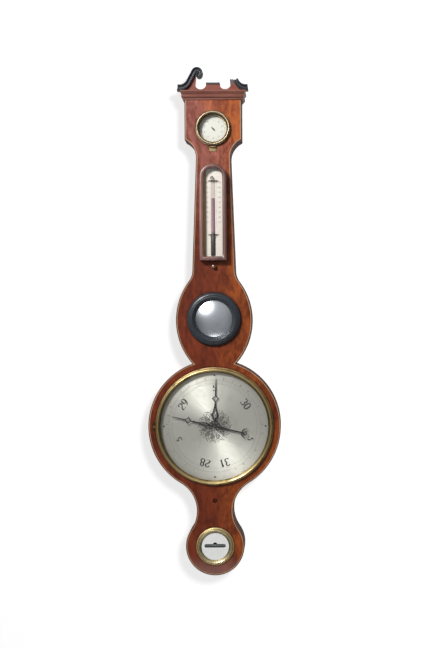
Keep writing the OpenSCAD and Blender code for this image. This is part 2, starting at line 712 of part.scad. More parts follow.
module movement_bridge() color(brass) hung() difference() {
    translate([0, 0, dial_z]) {
        translate([-bridge_hw, bridge_y - bridge_t, -bridge_foot - bridge_t])
            cube([2 * bridge_hw, bridge_t, 2 * (bridge_foot + bridge_t)]);
        for (s = [0, 1]) mirror([0, 0, s]) {
            translate([-bridge_hw, dial_seat_y, bridge_foot])
                cube([2 * bridge_hw, bridge_y - dial_seat_y, bridge_t]);
            translate([-bridge_hw, dial_seat_y, bridge_foot]) cube([2 * bridge_hw, bridge_t, flange]);
        }
    }
    round_at(dial_z, arbor_r + run_gap, 0, bridge_y - 9);
    for (s = [-1, 1]) round_at(dial_z + s * bridge_screw_z, 1.1 + snug_gap, 0, -case_d);
}

// Endless cord round both pulleys: two arcs and two tangent runs
cord_tilt = asin((set_pulley_r - setting_pulley_r) / setting_drop);
function cord_ring(z, r, a) = [for (t = [0:45:315]) let (reach = r + set_cord_r * cos(t))
    [reach * cos(a), cord_y + set_cord_r * sin(t), z + reach * sin(a)]];
cord_rings = concat(
    [for (k = [0:24]) cord_ring(dial_z, set_pulley_r, -cord_tilt + (180 + 2 * cord_tilt) * k / 24)],
    [for (k = [0:20])
        cord_ring(setting_z, setting_pulley_r, 180 + cord_tilt + (180 - 2 * cord_tilt) * k / 20)]);
module set_cord() color("#5a4632") hung() looped(cord_rings);
setting_r = 2.2;
setting_tip_y = -case_d + 1.2;
module setting_arbor() color(brass) hung()
    round_at(setting_z, setting_r, set_pulley_y + 0.9, setting_tip_y);
module setting_pulley() color(brass) hung() turned_at(setting_z, pulley_section(setting_r + snug_gap,
    setting_pulley_r - set_cord_r - seat_gap, setting_pulley_r + 0.8, 1), 0, set_pulley_y);
module setting_bush() color(brass) hung() difference() {
    union() {
        round_at(setting_z, setting_hole_r, -cord_way_d, -case_d + 3);
        round_at(setting_z, 7, -cord_way_d + 1.1, -cord_way_d);
    }
    round_at(setting_z, setting_r + run_gap, 0, -case_d);
}

// Siphon tube: long limb, bend and the wider short limb below the float pulley
long_x = -16;
long_y = -10.5;
short_c = [float_pulley_r, float_y];
bend_v = short_c - [long_x, long_y];
bend_r = norm(bend_v) / 2;
bend_z = channel_lo + bend_r + tube_r + 1;
shoulder_z = bend_z + 8;
short_top = dial_z - 96;
mercury_lo = dial_z - mercury_drop;
mercury_hi = mercury_lo + mercury_head;
tube_top = channel_hi - 2;
fluid_gap = 0.2;
// A ring of the tube at an angle round the bend, 0 on the long limb and 180 on the short one
bend_u = bend_v / norm(bend_v);
bend_mid = [long_x, long_y] + bend_v / 2;
function tube_ring(phi, rise, r) = [for (t = [0:22.5:337.5])
    let (c = bend_mid - (bend_r + r * cos(t)) * cos(phi) * bend_u + r * sin(t) * [-bend_u[1], bend_u[0]])
    [c[0], c[1], bend_z + rise - (bend_r + r * cos(t)) * sin(phi)]];
module siphon_tube() color(clear) hung() lofted(concat(
    [tube_ring(0, tube_top - 2 - bend_z, 0.1), tube_ring(0, tube_top - tube_r - bend_z, tube_bore)],
    [for (phi = [0:15:180]) tube_ring(phi, 0, tube_bore)],
    [tube_ring(180, 2, tube_bore), tube_ring(180, shoulder_z - bend_z, cup_bore)],
    [for (r = [cup_bore, cup_r]) tube_ring(180, short_top - bend_z, r)],
    [tube_ring(180, shoulder_z - bend_z, cup_r), tube_ring(180, 2, tube_r)],
    [for (phi = [180:-15:0]) tube_ring(phi, 0, tube_r)],
    [tube_ring(0, tube_top - tube_r - bend_z, tube_r), tube_ring(0, tube_top - 1.2 - bend_z, tube_r * 0.7)],
    [tube_ring(0, tube_top - bend_z, 0.4)]));
module mercury_bend() color(quicksilver) hung() lofted(concat(
    [for (rise = [shoulder_z + 2, shoulder_z + fluid_gap]) tube_ring(180, rise - bend_z, cup_bore - fluid_gap)],
    [tube_ring(180, 2 + fluid_gap, tube_bore - fluid_gap)],
    [for (phi = [180:-15:0]) tube_ring(phi, 0, tube_bore - fluid_gap)]));
module mercury_long() color(quicksilver) hung()
    translate([long_x, long_y, bend_z]) cylinder(h = mercury_hi - bend_z, r = tube_bore - fluid_gap);
module mercury_short() color(quicksilver) hung() translate([short_c[0], short_c[1], shoulder_z + 2])
    cylinder(h = mercury_lo - shoulder_z - 2 - fluid_gap, r = cup_bore - fluid_gap);

rest_h = 16;
rest_zs = [channel_lo + 70, swell_z - 20, thermo_z + 40, hyg_z - 40];
strap_t = 0.8;
module tube_rests() color(mahogany) hung() for (z = rest_zs) difference() {
    translate([long_x - tube_r - 0.8, -channel_d, z])
        cube([2 * tube_r + 1.6 + 3, channel_d + long_y, rest_h]);
    translate([long_x, long_y, z - 1]) cylinder(h = rest_h + 2, r = tube_r + seat_gap);
}
module tube_straps() color(brass) hung() for (z = rest_zs) translate([0, 0, z + 4]) {
    difference() {
        translate([long_x, long_y, 0]) cylinder(h = rest_h - 8, r = tube_r + seat_gap + strap_t);
        translate([long_x, long_y, -1]) cylinder(h = rest_h, r = tube_r + seat_gap);
        translate([long_x - 20, long_y - 20, -1]) cube([40, 20, rest_h]);
    }
    translate([long_x + tube_r + seat_gap, long_y, 0]) cube([3.3, strap_t, rest_h - 8]);
}

// Float and counterweight on their silks
counter_z = dial_z - 120;
counter_r = 2.6;
counter_len = 41;
module weight_at(x, y, z) {
    translate([x, y, z]) rotate_extrude() polygon([[0, 0], [float_r - 1, 0], [float_r, 1.2],
        [float_r, float_len - 2.4], [1, float_len], [0, float_len]]);
}
module float_weight() color("#d8d4c4") hung() weight_at(short_c[0], short_c[1], mercury_lo);
module counterweight() color("#d8d4c4") hung() translate([-float_pulley_r, counter_y, counter_z])
    rotate_extrude() polygon([[0, 0], [counter_r - 0.8, 0], [counter_r, 1], [counter_r, counter_len - 2],
        [0.8, counter_len], [0, counter_len]]);
module thread(x, y, z) {
    translate([x, y, z]) cylinder(h = dial_z - z, r = thread_r, $fn = 16);
}
module float_thread() color("#6b5a3c") hung() thread(short_c[0], short_c[1], mercury_lo + float_len);
module counter_thread() color("#6b5a3c") hung() thread(-float_pulley_r, counter_y, counter_z + counter_len);

// Hygrometer: a cup let into the head, its plate, spindle and hinged bezel
hyg_plate_t = 1;
hyg_in = 27;
hyg_h = 9;
hyg_seat_h = 4.2;
hyg_lip = 1.8;
hyg_glass_t = 1.6;
spindle_r = 0.7;
beard_r = 1.1;
hyg_plate_y = -case_d + hyg_sink;
hyg_pointer_y = hyg_plate_y - 1.6;
hyg_hinge_len = 12;
hyg_hinge_z = hyg_z - hyg_r - bezel_hinge_r - 0.4;
hyg_leaf_h = 8;
hyg_leaf_hw = 7;
module hygrometer_cup() color(brass) hung() difference() {
    union() {
        round_at(hyg_z, cup_out_r, hyg_floor_y, -case_d);
        round_at(hyg_z, 4 - snug_gap, -channel_d + 2, hyg_floor_y - eps);
    }
    round_at(hyg_z, cup_out_r - cup_wall, hyg_plate_y + hyg_plate_t, -case_d - 1);
    round_at(hyg_z, spindle_r + run_gap, 0, -case_d);
}
module hygrometer_plate() color("#ecece4") hung() difference() {
    round_at(hyg_z, hyg_plate_r, hyg_plate_y + hyg_plate_t, hyg_plate_y);
    round_at(hyg_z, spindle_r + run_gap, 0, -case_d);
}
module hygrometer_bezel() color(brass) hung() {
    turned_at(hyg_z, bezel_section(hyg_r, hyg_in, hyg_h, hyg_seat_h, hyg_lip));
    translate([0, front_hinge_y, hyg_hinge_z]) {
        rotate([0, 90, 0]) knuckles(hyg_hinge_len, bezel_hinge_r, bezel_pin_r, false);
        translate([-hyg_hinge_len / 6 + 0.2, 0.8, bezel_pin_r + 0.4])
            cube([hyg_hinge_len / 3 - 0.4, 1.2, 3.4]);
    }
}
module hygrometer_glass() color(clear) hung()
    round_at(hyg_z, hyg_in + hyg_lip - seat_gap, -case_d - hyg_seat_h + hyg_glass_t, -case_d - hyg_seat_h);
module hygrometer_pointer() color(blued) hung() {
    round_at(hyg_z, spindle_r, -channel_d + 3, hyg_pointer_y - 0.8);
    round_at(hyg_z, beard_r, -channel_d + 9, -channel_d + 2.5);
    facing(hyg_pointer_y) translate([0, hyg_z]) rotate(45) linear_extrude(0.5) {
        circle(1.5);
        stem(-4, 0, 0.5, 1.3);
        stem(0, 5.6, 1.3, 0.4);
    }
}
module hygrometer_hinge_leaf() color(brass) hung() {
    translate([0, front_hinge_y, hyg_hinge_z]) rotate([0, 90, 0])
        knuckles(hyg_hinge_len, bezel_hinge_r, bezel_pin_r, true);
    translate([-hyg_leaf_hw, -case_d - 1, hyg_hinge_z - hyg_leaf_h]) difference() {
        cube([2 * hyg_leaf_hw, 1, hyg_leaf_h]);
        translate([hyg_leaf_hw - hyg_hinge_len / 6 - 0.2, -1, hyg_leaf_h - 3])
            cube([hyg_hinge_len / 3 + 0.4, 3, 5]);
    }
}

// Thermometer in its arched box, lifted off a dovetail cleat
thermo_back_t = 3;
thermo_back_y = -case_d - seat_gap;
frame_y = thermo_back_y - thermo_back_t;
thermo_front_y = thermo_back_y - thermo_d;
lip_t = 2.5;
rebate_w = 3.5;
thermo_glass_t = 2;
thermo_plate_t = 1;
sight_drop = 9;
stem_y = frame_y - thermo_plate_t - 3.7;
bulb_r = 3.5;
bulb_h = 41;
stem_r = 2.4;
stem_bore = 0.8;
bulb_z = thermo_z + 8;
stem_top = thermo_z + thermo_h - 21;
column_z = thermo_z + 123;
wire_zs = [bulb_z + bulb_h + 2, stem_top - 9];
wire_h = 1;
cleat_z = thermo_z + 2;
cleat_h = thermo_lift - 4;
cleat_hw = 7;
cleat_t = 2.6;
cleat_flare = 2;
module arch_plan(w, z0, z1) {
    translate([-w / 2, z0]) square([w, z1 - z0 - w / 2]);
    translate([0, z1 - w / 2]) intersection() {
        circle(w / 2);
        translate([-w, -eps]) square([2 * w, w]);
    }
}
module box_plan(inset) {
    arch_plan(thermo_w - 2 * inset, thermo_z + inset, thermo_z + thermo_h - inset);
}
sight_inset = (thermo_w - thermo_sight_w) / 2;
module thermo_frame() color(dark_wood) hung() difference() {
    facing(frame_y) linear_extrude(frame_y - thermo_front_y) box_plan(0);
    facing(frame_y + 1) linear_extrude(frame_y - thermo_front_y + 2) box_plan(sight_inset);
    facing(frame_y + 1) linear_extrude(frame_y - thermo_front_y + 1 - lip_t) box_plan(sight_inset - rebate_w);
}
module cleat_section(gap) {
    polygon([[-cleat_hw - gap, -case_d], [cleat_hw + gap, -case_d],
        [cleat_hw + cleat_flare + gap, -case_d - cleat_t - gap],
        [-cleat_hw - cleat_flare - gap, -case_d - cleat_t - gap]]);
}
module thermo_back() color(dark_wood) hung() difference() {
    facing(thermo_back_y) linear_extrude(thermo_back_t) box_plan(0);
    translate([0, 0, thermo_z - 1]) linear_extrude(cleat_z - thermo_z + 1 + cleat_h + seat_gap)
        cleat_section(0.35);
}
module thermo_cleat() color(brass) hung()
    translate([0, 0, cleat_z]) linear_extrude(cleat_h) cleat_section(0);
module thermo_glass() color(clear) hung() facing(thermo_front_y + lip_t + thermo_glass_t)
    linear_extrude(thermo_glass_t) box_plan(sight_inset - rebate_w + seat_gap);
module thermo_plate() color(silvered) hung() facing(frame_y) linear_extrude(thermo_plate_t)
    box_plan(sight_inset - rebate_w + seat_gap);
module thermo_tube() color(clear) hung() translate([0, stem_y, 0]) rotate_extrude()
    polygon([[0, bulb_z], [bulb_r - 1, bulb_z], [bulb_r, bulb_z + 1], [bulb_r, bulb_z + bulb_h - 2],
        [stem_r, bulb_z + bulb_h], [stem_r, stem_top], [0, stem_top], [0, stem_top - 2],
        [stem_bore, stem_top - 2], [stem_bore, bulb_z + bulb_h - 1], [bulb_r - 0.6, bulb_z + bulb_h - 3],
        [bulb_r - 0.6, bulb_z + 1], [0, bulb_z + 1]]);
module thermo_spirit() color("#5b1a22") hung() translate([0, stem_y, 0]) rotate_extrude()
    polygon([[0, bulb_z + 1.2], [bulb_r - 0.8, bulb_z + 1.2], [bulb_r - 0.8, bulb_z + bulb_h - 3.1],
        [stem_bore - 0.2, bulb_z + bulb_h - 1], [stem_bore - 0.2, column_z], [0, column_z]]);
wire_r = frame_y - thermo_plate_t - stem_y;
wire_hw = 10.5;
wire_t = 0.9;
module thermo_wires() color(brass) hung() for (z = wire_zs) translate([0, stem_y, z]) difference() {
    union() {
        cylinder(h = wire_h, r = wire_r - fluid_gap);
        translate([-wire_hw, wire_r - wire_t, 0]) cube([2 * wire_hw, wire_t, wire_h]);
    }
    translate([0, 0, -1]) cylinder(h = wire_h + 2, r = stem_r + seat_gap);
}
stop_drop = 11;
module thermo_stop() color(brass) hung() turned_at(thermo_z - stop_drop,
    concat([[0, 0], [3.2, 0], [3.2, 0.8], [1.8, 1.6], [1.8, 2.6]], arc([0, 6.2], 4.4, -60, 90, 8)));

// Mirror in its turned frame
mirror_seat_h = mirror_frame_h - 8;
mirror_lip = 2;
mirror_rise = 8;
mirror_glass_t = 1.8;
module mirror_frame() color(ebony) hung() turned_at(mirror_z, concat(
    [[mirror_r + mirror_lip, 0], [mirror_frame_r, 0], [mirror_frame_r, 3]],
    arc([mirror_frame_r - 7, 3], 7, 0, 80, 6),
    [[mirror_frame_r - 6.4, mirror_frame_h - 2.4], [mirror_frame_r - 6.4, mirror_frame_h - 1.4]],
    arc([mirror_frame_r - 9.5, mirror_frame_h - 3], 3, 30, 150, 6),
    [[mirror_r + 1.2, mirror_frame_h - 4.5], [mirror_r, mirror_frame_h - 6.5], [mirror_r, mirror_seat_h],
        [mirror_r + mirror_lip, mirror_seat_h]]));
module mirror_glass() color("#9b9ea3") hung() turned_at(mirror_z,
    domed_glass(mirror_r + mirror_lip - seat_gap, mirror_rise, mirror_glass_t,
        mirror_seat_h - mirror_glass_t - 1));

// Spirit level in the foot
level_h = 5.5;
level_seat_h = 2;
level_lip = 1.5;
level_plate_t = 1;
level_slot_w = 41;
level_slot_h = 6.7;
level_slot_up = 1;
slot_x = (level_slot_w - level_slot_h) / 2;
vial_r = 3.4;
vial_len = 44;
level_plate_y = -case_d - level_seat_h + level_plate_t;
module level_bezel() color(brass) hung()
    turned_at(foot_z, bezel_section(level_r, level_sight_r, level_h, level_seat_h, level_lip));
module level_plate() color("#ecece4") hung() difference() {
    round_at(foot_z, level_sight_r + level_lip - seat_gap, level_plate_y, level_plate_y - level_plate_t);
    facing(0) linear_extrude(case_d + 9) translate([0, foot_z + level_slot_up])
        polygon(concat(arc([slot_x, 0], level_slot_h / 2, -90, 90, 10),
            arc([-slot_x, 0], level_slot_h / 2, 90, 270, 10)));
    round_at(foot_z + level_slot_up + level_slot_h / 2 - 1.2, 4.4, 0, -case_d - 9);
}
vial_y = level_plate_y + seat_gap + vial_r;
module level_vial() color(clear) hung()
    translate([-vial_len / 2, vial_y, foot_z + level_slot_up]) rotate([0, 90, 0]) rotate_extrude()
        polygon([[0, 0], [vial_r - 1.5, 0], [vial_r, 1.5], [vial_r, vial_len - 1.5],
            [vial_r - 1.5, vial_len], [0, vial_len]]);

case_carcass();
front_veneer();
edge_stringing();
cornice();
pediment_board();
swan_neck();
broken_swan_neck();
plinth_cap();
hanging_plate();
brass_screws();
back_door();
door_hinge_leaves();
door_hinge_straps();
hinge_pins();
door_button();
dial_plate();
dial_screws();
main_bezel();
main_glass();
bezel_hinge_leaf();
indicating_hand();
hand_arbor();
float_pulley();
movement_bridge();
set_hand();
set_sleeve();
set_cord();
setting_arbor();
setting_pulley();
setting_bush();
siphon_tube();
tube_rests();
tube_straps();
mercury_bend();
mercury_long();
mercury_short();
float_weight();
counterweight();
float_thread();
counter_thread();
hygrometer_cup();
hygrometer_plate();
hygrometer_bezel();
hygrometer_glass();
hygrometer_pointer();
hygrometer_hinge_leaf();
thermo_frame();
thermo_back();
thermo_glass();
thermo_plate();
thermo_tube();
thermo_spirit();
thermo_wires();
thermo_cleat();
thermo_stop();
mirror_frame();
mirror_glass();
level_bezel();
level_plate();
level_vial();
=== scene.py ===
import json
from math import cos, pi, radians, sin

import bmesh
import bpy
import numpy as np
from mathutils import Matrix, Vector

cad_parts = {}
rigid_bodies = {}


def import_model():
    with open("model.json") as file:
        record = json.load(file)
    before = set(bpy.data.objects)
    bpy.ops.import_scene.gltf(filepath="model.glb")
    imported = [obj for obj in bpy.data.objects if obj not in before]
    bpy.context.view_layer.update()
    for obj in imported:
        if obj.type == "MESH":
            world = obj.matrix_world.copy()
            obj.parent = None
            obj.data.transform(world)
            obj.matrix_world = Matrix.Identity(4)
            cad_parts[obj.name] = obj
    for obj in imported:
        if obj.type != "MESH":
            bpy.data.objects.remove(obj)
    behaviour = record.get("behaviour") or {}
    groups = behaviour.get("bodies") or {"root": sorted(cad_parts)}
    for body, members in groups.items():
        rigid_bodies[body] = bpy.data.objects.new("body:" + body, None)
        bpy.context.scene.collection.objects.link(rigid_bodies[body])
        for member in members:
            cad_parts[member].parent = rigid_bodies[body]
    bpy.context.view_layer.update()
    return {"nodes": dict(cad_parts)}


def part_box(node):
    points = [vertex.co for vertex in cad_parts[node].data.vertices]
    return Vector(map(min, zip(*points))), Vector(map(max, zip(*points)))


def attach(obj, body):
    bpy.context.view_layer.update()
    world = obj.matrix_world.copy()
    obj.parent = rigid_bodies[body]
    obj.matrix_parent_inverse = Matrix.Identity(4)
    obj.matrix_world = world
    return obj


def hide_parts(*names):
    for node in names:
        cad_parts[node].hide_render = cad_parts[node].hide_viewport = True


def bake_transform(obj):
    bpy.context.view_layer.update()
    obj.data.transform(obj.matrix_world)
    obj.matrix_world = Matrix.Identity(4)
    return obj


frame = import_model()
nodes = frame["nodes"]
mm = 0.001
hangAt = 935.0  # the hanging hole, the frame's origin, over the foot in millimetres
white = (1.0, 1.0, 1.0, 1.0)
scene = bpy.context.scene
scene.view_settings.view_transform = "Standard"
print("frame loaded:", len(nodes), "solids")


def middle(node):  # centre of a solid's box
    low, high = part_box(node)
    return (low + high) / 2


# camera square to the front, standing right of the case, its picture shifted back
viewpoint = dict(
    eye=(0.14, -1.7639, -0.4538), lens=50.0, sensor=36.0, shift=-0.1097, roll=-0.304, aim=(0.0, -0.038, -0.4538))


def placeCamera(v):
    data = bpy.data.cameras.new("camera")
    data.lens, data.sensor_width, data.shift_x = v["lens"], v["sensor"], v["shift"]
    camera = bpy.data.objects.new("camera", data)
    scene.collection.objects.link(camera)
    camera.location = v["eye"]
    upright, roll = Matrix.Rotation(pi / 2, 4, "X"), Matrix.Rotation(radians(v["roll"]), 4, "Z")
    camera.rotation_euler = (upright @ roll).to_euler()
    scene.camera = camera


placeCamera(viewpoint)

# each lamp: where it stands from the aim, size in metres, watts, what it lights, whether shiny pieces show it
lamps = dict(
    windowLeft=dict(place=(-0.85, -1.65, 1.05), size=(0.55, 0.55), watts=54.0, on="object", shown=True),
    screenRight=dict(place=(0.85, -1.85, 0.8), size=(0.6, 0.6), watts=18.0, on="wall"),
    fillRight=dict(place=(0.85, -1.85, 0.35), size=(0.6, 0.6), watts=4.0, on="object"),
    lowBounce=dict(place=(0.0, -1.2, -1.25), size=(1.1, 0.3), watts=2.5, on="object", shown=True),
    rearLeft=dict(place=(-1.4, 1.5, 0.9), size=(1.0, 1.0), watts=9.0, on="object"),
    rearRight=dict(place=(1.4, 1.5, 0.3), size=(1.0, 1.0), watts=9.0, on="object"))
for lampName, lamp in lamps.items():
    light = bpy.data.lights.new(lampName, "AREA")
    light.shape, light.size, light.size_y, light.energy = "ELLIPSE", *lamp["size"], lamp["watts"]
    holder = bpy.data.objects.new(lampName, light)
    holder.location = Vector(viewpoint["aim"]) + Vector(lamp["place"])
    holder.rotation_euler = (-Vector(lamp["place"])).to_track_quat("-Z", "Y").to_euler()
    scene.collection.objects.link(holder)
    holder.visible_glossy = lamp.get("shown", False)


class Tone:  # one socket of a shader tree, with plain arithmetic on it
    def __init__(self, tree, socket=None):
        self.tree, self.socket = tree, socket

    def make(self, kind, settings=None, links=None, out=0):  # any node: type, settings first, then sockets
        node = self.tree.nodes.new("ShaderNode" + kind)
        for key, value in (settings or {}).items():
            setattr(node, key, value)
        for key, value in (links or {}).items():
            if isinstance(value, Tone):
                self.tree.links.new(value.socket, node.inputs[key])
            else:
                node.inputs[key].default_value = value
        return Tone(self.tree, node.outputs[out])

    def math(self, word, other=0.0, swap=False):
        first, second = (other, self) if swap else (self, other)
        return self.make("Math", {"operation": word}, {0: first, 1: second})

    def vector(self, word, other=(0.0, 0.0, 0.0)):
        return self.make("VectorMath", {"operation": word}, {0: self, 1: other})


operators = dict(add="ADD", sub="SUBTRACT", mul="MULTIPLY", truediv="DIVIDE", pow="POWER", lt="LESS_THAN")
for sign, word in operators.items():
    setattr(Tone, "__%s__" % sign, lambda self, other, word=word: self.math(word, other))
    setattr(Tone, "__r%s__" % sign, lambda self, other, word=word: self.math(word, other, True))


def hue(text):  # a colour as seen on a screen, made linear
    parts = [int(text[k:k + 2], 16) / 255 for k in (0, 2, 4)]
    return tuple(c / 12.92 if c <= 0.04045 else ((c + 0.055) / 1.055) ** 2.4 for c in parts) + (1.0,)


def split(v, *parts):  # the asked parts of a vector
    return [v.make("SeparateXYZ", links={0: v}, out=k) for k in parts]


def joined(*parts):  # a vector from its parts
    tone = next(part for part in parts if isinstance(part, Tone))
    return tone.make("CombineXYZ", links=dict(enumerate(parts)))


def cloud(p, scale, detail=3.0, rough=0.5, stretch=None, swirl=0.0):  # noise, stretched along the axes when asked
    if stretch:
        p = p.vector("MULTIPLY", stretch)
    links = {"Vector": p, "Scale": scale, "Detail": detail, "Roughness": rough, "Distortion": swirl}
    return p.make("TexNoise", links=links)


def ease(x, low, high):  # 0 below low, 1 above high, smooth between
    return x.make("MapRange", {"interpolation_type": "SMOOTHSTEP"}, {0: x, 1: low, 2: high})


def blendHue(f, a, b):  # from colour a to colour b by f; screen colours or tones
    a, b = (hue(colour) if isinstance(colour, str) else colour for colour in (a, b))
    return f.make("Mix", {"data_type": "RGBA"}, {0: f, 6: a, 7: b}, 2)


def relief(height, strength, reach):  # bump from a height; reach in metres
    return height.make("Bump", links={"Strength": strength, "Distance": reach, "Height": height})


def fromAxis(x, z, node):  # distance from a solid's middle seen from the front, and height above it
    away = z - middle(node).z
    return (x * x + away * away).math("SQRT"), away


def newMaterial(name):
    material = bpy.data.materials.new(name)
    material.use_nodes = True
    return material, material.node_tree, material.node_tree.nodes["Principled BSDF"]


def finish(name, recipe, **fixed):  # a material: fixed values, then the recipe's colour, roughness and normal
    material, tree, shader = newMaterial(name)
    for key, value in fixed.items():
        shader.inputs[key.replace("_", " ")].default_value = value
    place = Tone(tree).make("TexCoord", out="Object")
    for key, tone in zip(("Base Color", "Roughness", "Normal"), recipe(place, *split(place, 0, 1, 2))):
        tree.links.new(tone.socket, shader.inputs[key])
    return material


def bareMaterial(name):  # a material with only its output left
    material, tree, shader = newMaterial(name)
    tree.nodes.remove(shader)
    return material, Tone(tree)


def mixSurface(t, share, first, second):  # two shaders mixed onto the output
    both = t.make("MixShader", links={0: share, 1: first, 2: second})
    t.tree.links.new(both.socket, t.tree.nodes["Material Output"].inputs["Surface"])


# the backdrop: a pale wall that keeps the soft shadow, seen only from its front
wall = dict(back=0.004, half=4.0, tint=(0.93, 0.93, 0.93, 1.0), lift=0.72)


def makeWall(w):
    h = w["half"]
    mesh = bpy.data.meshes.new("wall")
    corners = [(x, w["back"], z) for x, z in ((-h, -h), (h, -h), (h, h), (-h, h))]
    mesh.from_pydata(corners, [], [(0, 1, 2, 3)])
    material, t = bareMaterial("wallPaint")
    rays = [t.make("LightPath", out=word) for word in ("Is Camera Ray", "Is Glossy Ray", "Is Transmission Ray")]
    seen = rays[0].math("MAXIMUM", rays[1]).math("MAXIMUM", rays[2])
    glow = t.make("Emission", links={"Color": white, "Strength": seen * w["lift"]})
    paint = t.make("BsdfDiffuse", links={"Color": w["tint"]})
    lit = t.make("AddShader", links={0: paint, 1: glow})
    hidden = 1 - seen * (1 - t.make("NewGeometry", out="Backfacing"))
    mixSurface(t, hidden, lit, t.make("BsdfTransparent"))
    piece = bpy.data.objects.new("wall", mesh)
    piece.data.materials.append(material)
    scene.collection.objects.link(piece)


makeWall(wall)

# the room: white past the wall, soft grey light; metal sees a pale ceiling and dark side walls
room = dict(soft=0.12, seenInMetal=0.5, sides=0.8)


def makeRoom(r):
    world = bpy.data.worlds.new("room")
    scene.world = world
    world.use_nodes = True
    tree = world.node_tree
    t = Tone(tree)
    shine, seen = (t.make("LightPath", out=word) for word in ("Is Glossy Ray", "Is Camera Ray"))
    aside, up = split(t.make("TexCoord", out="Generated"), 0, 2)
    walls = 1 - r["sides"] * ease(aside.math("ABSOLUTE"), 0.3, 0.85)
    ceiling = 0.6 + 0.4 * ease(up, -0.7, 0.6)
    level = r["soft"] + shine * (r["seenInMetal"] * walls * ceiling - r["soft"])
    background = tree.nodes["Background"].inputs
    background["Color"].default_value = white
    tree.links.new((seen + (1 - seen) * level).socket, background["Strength"])


makeRoom(room)
print("camera, lamps and backdrop set")


# woods: a broad figure, streaks, fine fibres and short pores, all drawn out along the grain
def grain(p, along, seed):
    p = p.vector("ADD", (seed, seed * 0.7, seed * 1.3))
    drawn = lambda across, length: tuple(length if k == along else across for k in range(3))
    figure = cloud(p, 1.0, 3.0, 0.55, drawn(34.0, 5.0), 0.8)
    streaks = cloud(p, 1.0, 4.0, 0.6, drawn(210.0, 7.0))
    fibres = cloud(p, 1.0, 3.0, 0.6, drawn(950.0, 26.0))
    pores = ease(cloud(p, 1.0, 2.0, 0.5, drawn(2100.0, 120.0)), 0.58, 0.7)
    return figure, streaks, fibres, pores


# colour follows figure, streaks and fibres; the side shade = (from x, to x, colour, share) darkens one side with
# painted shade
def woodFinish(name, along, seed, dark, light, pore=0.45, sideShade=None, **fixed):
    def recipe(p, x, y, z):
        figure, streaks, fibres, pores = grain(p, along, seed)
        tone = ease(figure * 0.5 + streaks * 0.3 + fibres * 0.2, 0.32, 0.68)
        colour = blendHue(pores * pore, blendHue(tone, dark, light), "2a120b")
        # painted shade over one side
        if sideShade:
            start, end, shade, share = sideShade
            colour = blendHue(ease(x, start, end) * share, colour, shade)
        rough = figure * 0.16 + fibres * 0.1 + pores * 0.1 + fixed["Roughness"] - 0.13
        return colour, rough, relief(fibres * 0.5 - pores, 0.3, 0.00012)
    return finish(name, recipe, **fixed)


# the front veneer: flames that rise and part from the middle, a pink painted sheen on the upper left, painted light
# making the right side orange, deeper low down;
# the rings: radii in millimetres round what stands on the front, where a dark ring of painted shade lies on the
# veneer
veneerLook = dict(
    rosySheen="a56559", red="75331c", orange="b05c24", deep="4a1d10", umber="662a1c", orangeOver=(-0.008, 0.058),
    lowOver=(-0.3, -0.05), shadeWide=4.0,
    shadeRound=dict(dial_plate=113.0, mirror_glass=51.5, hygrometer_plate=33.5, level_plate=36.0),
    # a painted reflection of something pale below pales the foot's bottom towards mauve
    footSheen="84625c", footSheenOver=(-0.93, -0.893))


def flameVeneer(v):
    def recipe(p, x, y, z):
        figure, streaks, fibres, pores = grain(p, 2, 0.31)
        part = (x - 0.006).math("ABSOLUTE")
        lift = z * 21.0 - part * 26.0 + figure * 2.4
        flames = cloud(joined(lift, x * 16.0, z * 2.0), 1.0, 4.0, 0.62, None, 0.5)
        mottle = cloud(p, 150.0, 4.0, 0.6, (1.0, 1.0, 0.55))
        mixed = flames * 0.36 + figure * 0.2 + streaks * 0.14 + fibres * 0.08 + mottle * 0.22
        high = ease(z, *v["lowOver"])
        # painted light: a pink sheen on the upper left and the right side lit orange, the split wavering with the
        # flames
        leftward = (z + 0.12).math("MAXIMUM", 0.0) * 0.45
        side = ease(x + (flames - 0.5) * 0.07 + leftward, *v["orangeOver"]) * (0.5 + 0.5 * high)
        ground = blendHue(side, blendHue(high, v["red"], v["rosySheen"]), v["orange"])
        colour = blendHue(ease(mixed, 0.38, 0.62), blendHue(high, v["deep"], v["umber"]), ground)
        colour = blendHue(pores * 0.4, colour, "3a170d")
        # painted reflection: the foot's bottom paled towards mauve
        colour = blendHue((1 - ease(z, *v["footSheenOver"])) * 0.6, colour, v["footSheen"])
        # a dark ring of painted shade round each part standing on the front
        for ringed, r in v["shadeRound"].items():
            shaded = 1 - ease(fromAxis(x, z, ringed)[0], r * mm, (r + v["shadeWide"]) * mm)
            colour = blendHue(shaded * 0.6, colour, "2a120a")
        return colour, 0.24 + flames * 0.12 + pores * 0.12, relief(fibres * 0.4 - pores, 0.22, 0.0001)
    return finish("flameVeneer", recipe, Specular_IOR_Level=0.18, Coat_Weight=0.06, Coat_Roughness=0.12)


# carcass wood: polished outside, dry and dusty on the flat back
def carcassWood():
    def recipe(p, x, y, z):
        figure, streaks, fibres, pores = grain(p, 2, 1.7)
        tone = ease(figure * 0.45 + streaks * 0.3 + fibres * 0.25, 0.32, 0.68)
        side, bare = blendHue(tone, "2c130d", "54271a"), blendHue(tone, "5c3b27", "8a6244")
        behind = ease(y, -0.0022, -0.0006)
        dust = ease(cloud(p, 38.0, 4.0, 0.6), 0.5, 0.75) * behind
        colour = blendHue(pores * 0.5, blendHue(behind, side, bare), "241009")
        colour = blendHue(dust * 0.35, colour, "a08d78")
        return colour, 0.5 + behind * 0.25 + streaks * 0.1, relief(fibres * 0.6 - pores, 0.35, 0.00015)
    return finish("carcassWood", recipe, Specular_IOR_Level=0.04)


